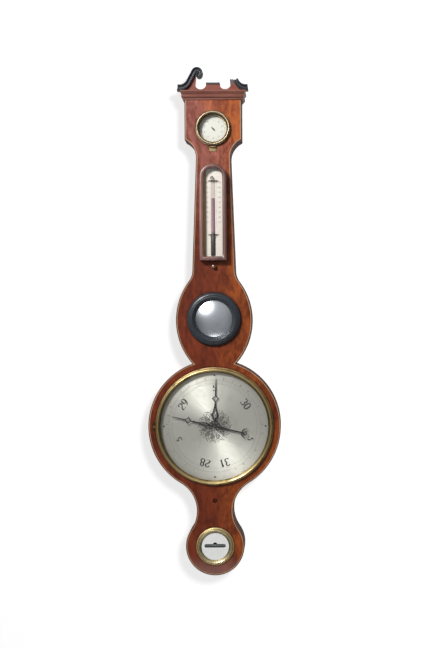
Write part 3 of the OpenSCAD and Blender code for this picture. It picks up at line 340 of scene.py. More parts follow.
# black-stained and polished wood, brown where the stain has rubbed thin
def ebonisedWood(name, seed, rubbed=0.62, low="15171b", high="2a2d33", gloss=0.38, coat=0.08):
    def recipe(p, x, y, z):
        figure, streaks, fibres, pores = grain(p, 0, seed)
        worn = ease(cloud(p, 120.0, 5.0, 0.65), rubbed, rubbed + 0.16)
        colour = blendHue(worn * 0.75, blendHue(fibres, low, high), "3b241b")
        return colour, gloss + streaks * 0.16 + worn * 0.2, relief(fibres - pores * 0.5, 0.08, 0.0001)
    return finish(name, recipe, Coat_Weight=coat, Coat_Roughness=0.2, Specular_IOR_Level=0.3)


# old lacquered brass: tarnish in clouds, specks, fine rubbing marks; a ring (solid at its middle, radii of foot and
# ridge in millimetres, colour of the outer shade) has both flanks darkened with painted shade mixed with tarnish,
# olive on the inner one, so the ridge stays bright
def oldBrass(name, bright="b3a27a", dull="6f6445", tarnish=0.5, gloss=0.26, ring=None):
    def recipe(p, x, y, z):
        clouds = ease(cloud(p, 55.0, 5.0, 0.6), tarnish - 0.12, tarnish + 0.2)
        specks = ease(cloud(p, 900.0, 3.0, 0.6), 0.62, 0.74)
        rubbing = cloud(p, 1.0, 2.0, 0.5, (2600.0, 500.0, 900.0))
        colour = blendHue(clouds * 0.8, bright, dull)
        colour = blendHue(specks * 0.5, colour, "3d331b")
        if ring:
            centre, foot, ridge, flankShade = ring
            radius = fromAxis(x, z, centre)[0]
            # painted shade: both flanks of the ring darkened, the inner one olive, weighted by the tarnish clouds
            inside = 1 - ease(radius, foot * mm, ridge * mm)
            outside = ease(radius, (ridge + 0.8) * mm, (ridge + 2.6) * mm)
            colour = blendHue(outside * (0.7 + clouds * 0.3), colour, flankShade)
            colour = blendHue(inside * (0.7 + clouds * 0.3), colour, "3c3517")
            clouds = clouds + outside * 1.1 + inside * 0.6
        return colour, gloss + clouds * 0.16 + specks * 0.2, relief(rubbing, 0.006 if ring else 0.025, 0.00003)
    return finish(name, recipe, Metallic=1.0)


# silvered dial: turned rings in short strokes tilt the face, so the sheen opens as two opposite sectors
dialLook = dict(silver="cdccc4", stain="9a9688", tilt=1.6, rings=26000.0, strokes=900.0, rimOver=(0.072, 0.104))


def silveredDial(d):
    def recipe(p, x, y, z):
        radius, away = fromAxis(x, z, "dial_plate")
        radius = radius.math("MAXIMUM", 1e-5)
        angle = x.math("ARCTAN2", away)
        stroke = joined((radius * d["rings"]).math("FLOOR"), (angle * d["strokes"]).math("FLOOR"))
        slope = (p.make("TexWhiteNoise", {"noise_dimensions": "2D"}, {"Vector": stroke}) - 0.5) * d["tilt"]
        face = p.make("NewGeometry", out="Normal")
        front = split(face, 1)[0] < -0.9
        lean = slope * front / radius
        normal = face.vector("ADD", joined(lean * x, 0.0, lean * away)).vector("NORMALIZE")
        stains = ease(cloud(p, 42.0, 5.0, 0.65), 0.5, 0.8)
        rim = ease(radius, *d["rimOver"])
        return blendHue(stains * 0.35 + rim * 0.25, d["silver"], d["stain"]), 0.43 + stains * 0.1, normal
    return finish("silveredDial", recipe, Metallic=0.68)


# scale plate with age in clouds; the left shade = (from x, to x, colour) tints the left edge olive as painted shade
# where the frame's shadow falls
def palePlate(name, tone, stain, metal, rough, leftShade=None):
    def recipe(p, x, y, z):
        stains = ease(cloud(p, 130.0, 5.0, 0.65), 0.48, 0.82)
        brush = cloud(p, 1.0, 2.0, 0.5, (300.0, 300.0, 2600.0))
        colour = blendHue(stains * 0.4, tone, stain)
        # painted shade: the left edge tinted olive
        if leftShade:
            colour = blendHue(1 - ease(x, leftShade[0], leftShade[1]), colour, leftShade[2])
        return colour, rough + stains * 0.1 + brush * 0.08, relief(brush, 0.06, 0.00004)
    return finish(name, recipe, Metallic=metal)


def darkSteel(name, tone, edge):  # blued and blackened steel, paler where it is rubbed
    def recipe(p, x, y, z):
        rubbed = ease(cloud(p, 420.0, 4.0, 0.6), 0.5, 0.7)
        return blendHue(rubbed, tone, edge), 0.34 + rubbed * 0.14, relief(rubbed, 0.05, 0.00003)
    return finish(name, recipe, Metallic=0.75)


# see-through; gloss = 0.035 + 0.965 facing to the fifth, a little smeared; body adds gloss all over
def clearGlass(name, tint, body=0.0, rough=0.03):
    material, t = bareMaterial(name)
    smear = cloud(t.make("TexCoord", out="Object"), 70.0, 4.0, 0.6)
    gloss = t.make("BsdfGlossy", links={"Color": white, "Roughness": rough})
    through = t.make("BsdfTransparent", links={"Color": tint})
    edge = 0.035 + 0.965 * t.make("LayerWeight", links={"Blend": 0.5}, out="Facing") ** 5.0
    mixSurface(t, edge * (0.75 + smear * 0.3) + body * smear, through, gloss)
    return material


# a ground clouded by a second colour: the clouds' scale, start and end, their share and their roughness
def clouded(name, ground, other, clouds, share, gloss, rougher, **fixed):
    def recipe(p, x, y, z):
        film = ease(cloud(p, clouds[0], 4.0, 0.6), clouds[1], clouds[2])
        return blendHue(film * share, ground, other), gloss + film * rougher
    return finish(name, recipe, **fixed)


def dyedSpirit():  # mauve column, nearly black where the bulb is deep
    def recipe(p, x, y, z):
        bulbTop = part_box("thermo_spirit")[0].z + 0.044
        up = ease(z, bulbTop - 0.004, bulbTop + 0.004)
        return blendHue(up, "26130f", "8e6878"), 0.35 + cloud(p, 500.0, 3.0, 0.6) * 0.1
    return finish("dyedSpirit", recipe, Specular_IOR_Level=0.2)


def cloudySpirit(name, grains, dark, pale, **fixed):  # the level's spirit and bubble
    return finish(name, lambda p, x, y, z: [blendHue(cloud(p, *grains), dark, pale)], **fixed)


def twistedSilk(name, tone, shade):  # strands wind round the line: turned by the piece's own angle and length
    def recipe(p, x, y, z):
        u, v = split(p.make("UVMap"), 0, 1)
        ply = ((u * 3.0 + v).math("FRACT") - 0.5).math("ABSOLUTE") * 2.0
        # painted shade: darker towards the grooves between the strands
        return blendHue(ply, tone, shade), 0.7 + ply * 0.1, relief(ply, 0.5, 0.0002)
    return finish(name, recipe)


# wax rubbed into the engraving, thin in places; quicksilver, and the silvered back of the looking glass
blackWax = clouded("waxInk", "2b2c2a", "62625c", (260.0, 0.5, 0.8), 1.0, 0.5, 0.2)
paleWax = clouded("faintInk", "62676a", "9a9c98", (140.0, 0.4, 0.75), 1.0, 0.5, 0.2)
quicksilver = clouded("quicksilver", "d5d6d8", "8f9296", (60.0, 0.5, 0.85), 0.4, 0.05, 0.05, Metallic=1.0)
lookingGlass = clouded("lookingGlass", "cdd2d9", "8f9296", (60.0, 0.5, 0.85), 0.4, 0.22, 0.05, Metallic=1.0)
finishes = dict(
    mahogany=carcassWood(),
    veneer=flameVeneer(veneerLook),
    boxwood=woodFinish("boxwoodLine", 2, 2.3, "8d6a50", "b58f70", 0.2, Roughness=0.45, Specular_IOR_Level=0.25),
    ebonised=ebonisedWood("ebonisedWood", 0.9),
    stained_wood=woodFinish("stainedWood", 2, 3.1, "33190f", "5d3524", Roughness=0.3, Coat_Weight=0.25),
    brass=oldBrass("oldBrass"),
    silvered=silveredDial(dialLook),
    blued_steel=darkSteel("blackenedSteel", "26282a", "54554f"),
    glass=clearGlass("clearGlass", (0.985, 0.985, 0.98, 1.0)),
    mirror=lookingGlass,
    quicksilver=quicksilver,
    spirit=dyedSpirit(),
    silk=twistedSilk("greenSilk", "4d5a45", "2b3327"),
    stem_glass=clearGlass("stemGlass", (0.82, 0.8, 0.79, 1.0), rough=0.55),
    weight_glass=clearGlass("weightGlass", (0.86, 0.92, 0.9, 1.0), 0.1))
# single solids whose finish differs from the rest of their slot
special = dict(
    cornice=woodFinish("corniceWood", 0, 4.2, "5b372e", "996457", Roughness=0.42, Specular_IOR_Level=0.12),
    pediment_board=woodFinish("pedimentWood", 0, 5.3, "5b2a20", "8a4837", Roughness=0.42, Specular_IOR_Level=0.2),
    # the frame's right side darkened with painted shade
    thermo_frame=woodFinish("frameWood", 2, 3.1, "50302a", "8e655c", sideShade=(-0.004, 0.016, "3a2320", 0.6),
        Roughness=0.32, Coat_Weight=0.12),
    # the scale plate's left edge tinted olive as painted shade from the frame
    thermo_plate=palePlate("scalePlate", "dcd4cb", "b3a799", 0.2, 0.36, (-0.0145, -0.0122, "a58a52")),
    hygrometer_plate=palePlate("hygrometerFace", "cdccc4", "aea999", 0.15, 0.4),
    level_plate=palePlate("levelFace", "dddedb", "b6b4ab", 0.1, 0.5),
    # on the bezels the last colour is the painted shade on the ring's outer side
    main_bezel=oldBrass("bezelBrass", "d0b883", "93804f", 0.56, 0.28, ("main_glass", 103.6, 108.0, "66502f")),
    hygrometer_bezel=oldBrass("doorBrass", "b3a386", "80755d", 0.56, 0.44,
        ("hygrometer_plate", 27.2, 30.2, "7a6b51")),
    level_bezel=oldBrass("levelBrass", "d3c297", "9a8c64", 0.56, 0.3, ("level_plate", 26.8, 31.2, "a8965f")),
    # the setting bush and arbor darkened as painted shade in their deep hole
    setting_bush=oldBrass("holeShadeBrass", "4a3523", "241a12", 0.4, 0.5),
    setting_arbor=oldBrass("reddenedArbor", "6d3a26", "3a2016", 0.45, 0.45),
    thermo_wires=oldBrass("darkWire", "4b412f", "29241c", 0.45, 0.4),
    bezel_hinge_leaf=oldBrass("hingeBrass", "5e4629", "33220f", 0.45, 0.45),
    hygrometer_hinge_leaf=oldBrass("leafBrass", "7d6d4c", "463a26", 0.45, 0.4),
    mirror_frame=ebonisedWood("mirrorFrame", 1.4, 0.7, "1e2226", "31363d", 0.3, 0.12),
    thermo_stop=oldBrass("pegBrass", "b79a88", "7c6456", 0.55, 0.3),
    level_vial=cloudySpirit("levelSpirit", (160.0, 4.0, 0.6), "2c3133", "4c5355",
        Roughness=0.12, Coat_Weight=0.5, Coat_Roughness=0.05))
for nodeName, node in nodes.items():
    slotName = node.data.materials[0].name.split(".")[0]
    node.data.materials[0] = special.get(nodeName) or finishes[slotName]
print("finishes on", len(nodes), "solids")


def spots(*parts):  # coordinates side by side, constants spread over the rest
    return np.stack(np.broadcast_arrays(*parts), -1)


def unit(v):
    return v / np.linalg.norm(v, axis=-1, keepdims=True)


def circle(n):  # angles once round
    return np.linspace(0, 2 * pi, n, endpoint=False)


def gridFaces(rows, cols, wrapRows=False):  # quads between the rows; every row closes on itself
    i, j = np.meshgrid(np.arange(rows if wrapRows else rows - 1), np.arange(cols), indexing="ij")
    below, beside = (i + 1) % rows * cols, (j + 1) % cols
    return np.stack([i * cols + j, below + j, below + beside, i * cols + beside], -1).reshape(-1, 4)


def outward(mesh):  # merged, then turned so that every face looks out
    work = bmesh.new()
    work.from_mesh(mesh)
    bmesh.ops.remove_doubles(work, verts=work.verts, dist=1e-7)
    bmesh.ops.recalc_face_normals(work, faces=work.faces)
    work.to_mesh(mesh)
    work.free()


# a piece rides a body and has its slot's finish unless another is given
def addPiece(name, points, faces, body, slot, material=None, smooth=True, turned=True):
    mesh = bpy.data.meshes.new(name)
    mesh.from_pydata(np.asarray(points, float).reshape(-1, 3).tolist(), [], [list(map(int, f)) for f in faces])
    if turned:
        outward(mesh)
    mesh.polygons.foreach_set("use_smooth", np.full(len(mesh.polygons), smooth))
    mesh.materials.append(material or finishes[slot])
    piece = bpy.data.objects.new(name, mesh)
    scene.collection.objects.link(piece)
    if body:
        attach(piece, body)
    return piece


# rings of points as a tube, with flat faces over its ends
def addTube(name, grid, body, slot, material=None, smooth=True, first=True, last=True):
    rows, cols = grid.shape[:2]
    ends = [range(cols)] * first + [range((rows - 1) * cols, rows * cols)] * last
    return addPiece(name, grid, gridFaces(rows, cols).tolist() + ends, body, slot, material, smooth)


# engraving: each stroke is a path (x, z) with a width at every point; its section is a low rectangle from just under
# the plate's face out to its thickness, closed at both ends
strokePoints = 14
atOrigin = (0.0, 0.0)


def engrave(name, paths, widths, centre, face, material, body, slot, thick=0.05, sunk=0.02):
    paths = np.asarray(paths, float)
    count, n = paths.shape[:2]
    step = np.gradient(paths, axis=1)
    side = spots(-step[..., 1], step[..., 0])
    side /= np.maximum(np.linalg.norm(side, axis=-1, keepdims=True), 1e-9)
    half = side * np.broadcast_to(widths, (count, n))[..., None] / 2
    corners = np.stack([paths - half, paths + half, paths + half, paths - half], 2)
    depth = np.array([sunk, sunk, -thick, -thick])
    points = spots(corners[..., 0] + centre[0], depth + face, corners[..., 1] + centre[1]) * mm
    offset = (np.arange(count) * n * 4)[:, None, None]
    ends = np.stack([np.arange(4), np.arange(4)[::-1] + (n - 1) * 4])
    faces = np.vstack([(quads[None] + offset).reshape(-1, 4) for quads in (gridFaces(n, 4), ends)])
    return addPiece(name, points, faces, body, slot, material, False)


def ringStrokes(radii, width, parts=72, n=6):  # circles as short arcs: x = r sin a, z = r cos a
    radii = np.array(radii, float)
    a = (np.arange(parts)[:, None] + np.linspace(0, 1, n)[None]) * 2 * pi / parts
    paths = spots(np.sin(a), np.cos(a))[None] * radii[:, None, None, None]
    return paths.reshape(-1, n, 2), np.full((len(radii) * parts, n), width)


def tickStrokes(angles, inner, outer, width, n=6):  # radial ticks at the given angles from upright
    a = np.radians(angles)[:, None]
    r = np.linspace(0, 1, n)[None] * (outer[:, None] - inner) + inner
    return spots(r * np.sin(a), r * np.cos(a)), np.full((len(angles), n), width)


def gather(*sets):  # several stroke sets as one
    return np.vstack([s[0] for s in sets]), np.vstack([s[1] for s in sets])


def centreOf(node):  # a solid's middle in the front plane, in millimetres
    return middle(node).x / mm, middle(node).z / mm


def arcOf(cx, cz, rx, rz, start, end, n=strokePoints):  # part of an ellipse, angles in degrees
    a = np.radians(np.linspace(start, end, n))
    return spots(cx + rx * np.cos(a), cz + rz * np.sin(a))


def bend(centre, r, start, end, n):  # part of a circle
    return arcOf(*centre, r, r, start, end, n)


def strokeOf(*n):  # six numbers: part of an ellipse; four: a line
    return arcOf(*n) if len(n) == 6 else np.linspace(n[:2], n[2:], strokePoints)


# every digit is a few strokes in a box 0.6 wide and 1 high
digitStrokes = {
    "0": [(0.3, 0.5, 0.25, 0.5, 90, 270), (0.3, 0.5, 0.25, 0.5, -90, 90)],
    "1": [(0.32, 0, 0.32, 1), (0.14, 0.82, 0.32, 1), (0.14, 0, 0.5, 0)],
    "2": [(0.29, 0.71, 0.24, 0.29, 170, -30), (0.62, 0.02, 0.58, 0.56, 104, 178), (0.04, 0.02, 0.56, 0.02)],
    "3": [(0.28, 0.75, 0.22, 0.25, 155, -90), (0.28, 0.25, 0.26, 0.25, 90, -155)],
    "4": [(0.42, 1, 0.02, 0.3), (0.02, 0.3, 0.6, 0.3), (0.42, 0, 0.42, 1)],
    "5": [(0.14, 0.98, 0.52, 0.98), (0.14, 0.98, 0.1, 0.54), (0.27, 0.32, 0.26, 0.32, 130, -150)],
    "6": [(0.3, 0.3, 0.24, 0.3, 0, 180), (0.3, 0.3, 0.24, 0.3, 180, 360), (0.62, 0.3, 0.56, 0.7, 110, 180)],
    "7": [(0.04, 0.98, 0.56, 0.98), (0.56, 0.98, 0.22, 0)],
    "8": [(0.3, 0.76, 0.2, 0.24, 90, 450), (0.3, 0.26, 0.25, 0.26, 90, 450)],
    "9": [(0.3, 0.7, 0.24, 0.3, 0, 180), (0.3, 0.7, 0.24, 0.3, 180, 360), (-0.02, 0.7, 0.56, 0.7, -70, 0)],
}
digitStep = 0.72


def numerals(text, height, x, z, turn=0.0, thin=0.06, thick=0.21):  # width grows with the stroke's uprightness
    shift = lambda k: np.array([digitStep * k - digitStep / 2 * len(text) + 0.06, -0.5])
    paths = np.stack([strokeOf(*n) + shift(k) for k, digit in enumerate(text) for n in digitStrokes[digit]])
    step = np.gradient(paths, axis=1)
    upright = np.abs(step[..., 1]) / np.maximum(np.linalg.norm(step, axis=-1), 1e-9)
    c, s = cos(radians(turn)), sin(radians(turn))
    u, v = np.moveaxis(paths, -1, 0)
    spun = spots(u * c + v * s, v * c - u * s)
    return spun * height + np.array([x, z]), (thin + (thick - thin) * upright) * height


def numeralsRound(text, height, radius, angle, *weight):  # the same on a circle, turned with it
    a = radians(angle)
    return numerals(text, height, radius * sin(a), radius * cos(a), angle, *weight)


# main dial: 28 to 31 inches over 330 degrees, hundredths between two rings, numbers inside and outside
dialMarks = dict(
    ringIn=81.0, ringOut=88.0, ringGap=0.9, ringWide=0.2, fine=0.16, face=-36.0, perInch=110.0, lowInch=28,
    topInch=29.5, inches=3, tenth=6.4, half=4.2, hundredth=2.6, bigAt=73.0, bigHeight=14.0, halfShare=0.8,
    smallAt=91.6, smallHeight=3.6)


def engraveDial(name, strokes, wax):
    engrave(name, *gather(*strokes), centreOf("dial_plate"), dialMarks["face"], wax, "case", "silvered")


def makeDialMarks(d):
    angleOf = lambda inches: (inches + d["lowInch"] - d["topInch"]) * d["perInch"]
    k = np.arange(100 * d["inches"] + 1)
    reach = d["ringIn"] + np.where(k % 10 == 0, d["tenth"], np.where(k % 5 == 0, d["half"], d["hundredth"]))
    rings = ringStrokes([d["ringIn"], d["ringOut"], d["ringOut"] + d["ringGap"]], d["ringWide"])
    engraveDial("dialScale", [rings, tickStrokes(angleOf(k / 100), d["ringIn"], reach, d["fine"])], paleWax)
    big = []
    for half in range(2 * d["inches"] + 1):  # whole inches in full, halves as a smaller five
        text, share = ("5", d["halfShare"]) if half % 2 else (str(d["lowInch"] + half // 2), 1.0)
        big.append(numeralsRound(text, d["bigHeight"] * share, d["bigAt"], angleOf(half / 2)))
    engraveDial("dialNumbers", big, blackWax)
    small = [numeralsRound(str(tenth % 10), d["smallHeight"], d["smallAt"], angleOf(tenth / 10))
             for tenth in range(10 * d["inches"]) if tenth % 5]
    engraveDial("dialTenths", small, paleWax)


# rosette: leaves curl out from the centre, each an outline, a midrib and veins, with tendrils between them;
# leaf edge: angle a0 + swing t^2 + side w sin(pi t^0.8), radius r0 + (r1 - r0) t; tendril: a closing spiral
rosetteLook = dict(
    leaves=12, inner=7.0, outer=33.0, swing=26.0, halfWidth=11.0, veins=5, tendrilAt=0.9, tendrilR=2.6,
    tendrilTurns=1.3, tendrilWide=0.5)


def makeRosette(r):
    t = np.linspace(0, 1, strokePoints)
    sets = []

    def draw(angle, radius, width):
        a = np.radians(angle)
        sets.append((spots(radius * np.sin(a), radius * np.cos(a))[None], width[None]))

    leaves = [(r["inner"], r["outer"] - 5.0, r["swing"], 1.0),
              (r["inner"] + 6.0, r["outer"], -r["swing"] * 0.8, 0.8)]
    for k in range(r["leaves"]):
        start = 360.0 / r["leaves"] * k
        for ring, (inner, outer, swing, size) in enumerate(leaves):
            first = start + ring * 180.0 / r["leaves"]
            radius = inner + (outer - inner) * t
            swell = np.sin(pi * t ** 0.8) * r["halfWidth"] * size
            for side in (-1, 1):
                draw(first + swing * t * t + side * swell, radius, 0.3 + 0.75 * np.sin(pi * t))
            draw(first + swing * t * t, radius, 0.7 * (1 - t) + 0.2)
            for vein in range(r["veins"]):
                at = 0.18 + 0.13 * vein
                root, rootRadius = first + swing * at * at, inner + (outer - inner) * at
                reach = np.sin(pi * (at + 0.1) ** 0.8) * r["halfWidth"] * size * 0.8
                for side in (-1, 1):
                    draw(root + side * reach * t, rootRadius + 3.0 * t ** 0.7, 0.5 * (1 - t) + 0.14)
        curl = np.radians(360 * t * r["tendrilTurns"] + start)
        at = np.radians(start + 90.0 / r["leaves"] + 8.0)
        far, wind = r["outer"] * r["tendrilAt"], r["tendrilR"] * (1 - 0.75 * t)
        spiral = spots(far * np.sin(at) + wind * np.cos(curl), far * np.cos(at) + wind * np.sin(curl))
        sets.append((spiral[None], np.full((1, strokePoints), r["tendrilWide"])))
    engraveDial("dialRosette", sets, blackWax)


makeDialMarks(dialMarks)
makeRosette(rosetteLook)
print("dial engraved")


# carved swan necks: a moulded section carried along a sweep, a short rise and a tight curl (centre, radius, start and
# end of each arc, steps of all three); the right neck stops at step breakAt
neckLook = dict(
    sweep=((-64.0, 954.5), 20.0, -100.0, -28.0), curl=((-30.5, 962.5), 6.0, 152.0, -40.0), steps=(26, 10, 48),
    foot=6.0, waist=4.7, tip=5.8, breakAt=28)
# the section: across (-1 inner, 1 outer edge, times the half width) and depth y in millimetres
neckSection = np.array([
    (-1.0, -43.0), (-0.95, -43.8), (-0.8, -44.3), (-0.66, -43.9), (-0.55, -43.2), (-0.3, -42.7), (0.0, -42.7),
    (0.22, -43.0), (0.34, -43.6), (0.4, -44.6), (0.52, -45.2), (0.7, -45.5), (0.88, -45.2), (0.98, -44.4),
    (1.0, -43.4), (1.0, -31.0), (0.96, -30.1), (-0.96, -30.1), (-1.0, -31.0)])


def neckLine(n):  # points of the line and half widths
    sweepSteps, riseSteps, curlSteps = n["steps"]
    sweep = bend(*n["sweep"], sweepSteps)
    curl = bend(*n["curl"], curlSteps)
    rise = sweep[-1] + (curl[0] - sweep[-1]) * np.linspace(0, 1, riseSteps + 2)[1:-1, None]
    half = np.hstack([np.linspace(n["foot"], n["waist"], sweepSteps), np.full(riseSteps, n["waist"]),
                      np.linspace(n["waist"], n["tip"], curlSteps)])
    return np.vstack([sweep, rise, curl]), half


def sweepSection(line, half, flip):  # every station: line + across * half * normal, depth as it is
    step = unit(np.gradient(line, axis=0))
    normal = spots(-step[:, 1], step[:, 0])
    flat = line[:, None, :] + neckSection[None, :, :1] * half[:, None, None] * normal[:, None, :]
    return spots(flat[..., 0] * flip, neckSection[:, 1], flat[..., 1] - hangAt) * mm


def makeNecks(n):
    line, half = neckLine(n)
    dip = np.radians(np.linspace(0, 90, 9))[1:]
    tip = line[-1] + unit(line[-1] - line[-2]) * n["tip"] * np.sin(dip)[:, None]
    tipHalf = n["tip"] * np.cos(dip)
    cap = sweepSection(np.vstack([line[-1:], tip]), np.hstack([half[-1:], tipHalf]), 1)[1:]
    whole = np.vstack([sweepSection(line, half, 1), cap])
    left = addTube("scrollLeft", whole, "case", "ebonised", last=False)
    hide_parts("swan_neck")
    # the broken end is torn along the grain: shift = a few waves of the place across
    stub = sweepSection(line[:n["breakAt"]], half[:n["breakAt"]], -1)
    across = neckSection[:, 0] * 3.1 + neckSection[:, 1] * 0.9
    tear = (1.1 * np.sin(across * 1.7) + 0.7 * np.sin(across * 4.3 + 1.0) + 0.4) * mm
    up = unit(stub[-1] - stub[-2])
    stub[-1] += up * tear[:, None]
    right = addTube("scrollRight", stub, "case", "ebonised", last=False)
    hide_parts("broken_swan_neck")
    rim = stub[-1]
    inward = ((0.0, 0.0), (0.3, 0.5), (0.6, -0.5), (0.9, 0.6))  # share of the way in, height
    rings = np.stack([rim + (rim.mean(0) - rim) * share + up.mean(0) * mm * high for share, high in inward])
    torn = woodFinish("tornWood", 2, 6.1, "4b4038", "8d8178", Roughness=0.75)
    addTube("tornEnd", rings, "case", "ebonised", torn, False, first=False)


# what is left of the board behind the broken neck: an outline (x, z) between two depths
boardTip = dict(
    outline=[(33.4, 941.5), (32.8, 946.5), (32.5, 950.4), (34.0, 952.4), (35.6, 950.8), (37.6, 951.6),
             (40.6, 950.2), (45.0, 944.0), (45.0, 941.5)], behind=0.2, deep=9.0)


def makeBoardTip(b):
    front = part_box("pediment_board")[0].y
    x, z = np.array(b["outline"]).T
    sheets = [spots(x * mm, front + depth * mm, (z - hangAt) * mm) for depth in (b["behind"], b["deep"])]
    splinter = woodFinish("splinterWood", 2, 7.7, "2a2222", "6b5f5c", Roughness=0.6)
    addTube("boardTip", np.stack(sheets), "case", "mahogany", splinter, False)


makeNecks(neckLook)
makeBoardTip(boardTip)
print("necks carved")


# a ring of points carried along a path, side = tangent x depth, so flat turns don't twist
def tubeGrid(path, radius, sides, closed=False):
    step = unit(np.roll(path, -1, 0) - np.roll(path, 1, 0) if closed else np.gradient(path, axis=0))
    side = unit(np.cross(step, np.array([0.0, 1.0, 0.0])))
    up = np.cross(side, step)
    a = circle(sides)[None, :, None]
    radius = np.broadcast_to(radius, (len(path), sides))
    return path[:, None] + radius[..., None] * (np.cos(a) * side[:, None] + np.sin(a) * up[:, None])


# a laid line of three strands with its own UV: turn, length; pitch is the length of one turn
def makeLine(name, path, radius, body, pitch, sides, closed=False):
    length = np.hstack([[0], np.cumsum(np.linalg.norm(np.diff(path, axis=0), axis=1))])
    turn = circle(sides)[None] + 2 * pi * length[:, None] / pitch
    grid = tubeGrid(path * mm, radius * (0.84 + 0.16 * np.abs(np.cos(1.5 * turn))) * mm, sides, closed)
    rows = len(path)
    faces = gridFaces(rows, sides, closed)
    row, col = faces[:, 0] // sides, faces[:, 0] % sides
    u = spots(col, col, col + 1, col + 1) / sides
    v = spots(row, row + 1, row + 1, row) * (length[-1] / max(rows - 1, 1)) / pitch
    piece = addPiece(name, grid, faces, None, "silk", turned=False)
    uv = piece.data.uv_layers.new(name="lay")
    uv.data.foreach_set("uv", spots(u, v).astype(np.float32).ravel())
    if not closed:
        work = bmesh.new()
        work.from_mesh(piece.data)
        bmesh.ops.holes_fill(work, edges=[e for e in work.edges if e.is_boundary])
        work.to_mesh(piece.data)
        work.free()
    if body:
        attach(piece, body)
    return piece


# the endless set line: over the sleeve's wheel, down, round the setting wheel and back
setLine = dict(
    topAt=286.0, topR=20.0, lowAt=143.0, lowR=10.0, depth=-28.0, radius=0.6, pitch=3.6, sides=9, steps=(140, 70, 242))


def makeSetLine(s):
    overSteps, underSteps, runSteps = s["steps"]
    lean = np.arcsin((s["topR"] - s["lowR"]) / (s["topAt"] - s["lowAt"]))
    a = np.linspace(-lean, pi + lean, overSteps)
    b = np.linspace(pi + lean, 2 * pi - lean, underSteps)
    over = spots(s["topR"] * np.cos(a), s["topAt"] + s["topR"] * np.sin(a))
    under = spots(s["lowR"] * np.cos(b), s["lowAt"] + s["lowR"] * np.sin(b))
    run = np.linspace(0, 1, runSteps)[1:-1, None]
    down, back = over[-1] + (under[0] - over[-1]) * run, under[-1] + (over[0] - under[-1]) * run
    flat = np.vstack([over, down, under, back])
    path = spots(flat[:, 0], s["depth"], flat[:, 1] - hangAt)
    piece = makeLine("setLine", path, s["radius"], "case", s["pitch"], s["sides"], True)
    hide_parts("set_cord")


# float and counterweight threads: from the pulley to their weights, stretched; turns of both lie in the grooves
threads = dict(
    float=dict(x=6.615, y=-18.0, low=146.0, grooveY=-17.9, way=1, start=0),
    counter=dict(x=-6.615, y=-15.5, low=207.0, grooveY=-15.5, way=-1, start=pi))
threadLook = dict(top=286.0, radius=0.3, pitch=1.6, sides=7, turns=2.5, drift=0.55)


def makeThreads(table, k):
    laid = k["pitch"], k["sides"]
    for name, t in table.items():
        path = spots(t["x"], t["y"], np.linspace(k["top"], t["low"], 160) - hangAt)
        piece = makeLine(name + "Silk", path, k["radius"], None, *laid)
        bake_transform(piece)
        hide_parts(name + "_thread")
        a = np.linspace(0, k["turns"] * 2 * pi, 200) * t["way"] + t["start"]
        drift = np.linspace(-k["drift"], k["drift"], 200)
        r = abs(t["x"])
        coil = spots(r * np.cos(a), t["grooveY"] + drift, k["top"] - hangAt + r * np.sin(a))
        makeLine(name + "Turns", coil, k["radius"], "hand", *laid)


turnSides = 28


def turnedGrid(profile, x, y):  # a profile (radius, height) spun round an upright axis
    a = circle(turnSides)
    r, z = profile[:, :1], profile[:, 1:] - hangAt
    return spots(x + r * np.cos(a), y + r * np.sin(a), z) * mm


# mercury: two columns with domed tops: z = top - rise (r / R) squared
columns = dict(
    float=dict(node="mercury_short", x=6.615, y=-18.0, low=58.9, top=127.8, r=4.5, rise=1.3),
    counter=dict(node="mercury_long", x=-16.0, y=-10.5, low=48.9, top=859.5, r=2.4, rise=0.8))
nearAxis = 0.02  # how close a closed end comes to its axis


def makeColumns(table):
    for body, c in table.items():
        r = np.linspace(1, nearAxis, 9) * c["r"]
        rim = c["top"] - c["rise"]
        dome = spots(r, c["top"] - c["rise"] * (r / c["r"]) ** 2)
        wall = spots(c["r"], np.linspace(c["low"], rim, 12))[:-1]
        grid = turnedGrid(np.vstack([[[nearAxis, c["low"]]], wall, dome]), c["x"], c["y"])
        piece = addTube(c["node"].replace("_", "") + "Dome", grid, None, "quicksilver")
        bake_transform(piece)
        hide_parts(c["node"])


makeSetLine(setLine)
makeThreads(threads, threadLook)
makeColumns(columns)
print("lines, threads and mercury in place")


# thermometer: degree ticks and tens on both sides of the tube, and the hook over its top
scaleMarks = dict(
    face=-42.3, readingAt=726.0, reading=62.0, perDegree=0.95, low=0, high=96, nearX=5.2, ten=4.2, two=2.2, fine=0.17,
    numberX=12.0, height=3.4, weight=(0.05, 0.13), hookAt=759.0, hookDepth=-46.0, hookR=2.4, hookUp=2.2,
    hookWire=0.75, wireSides=10)


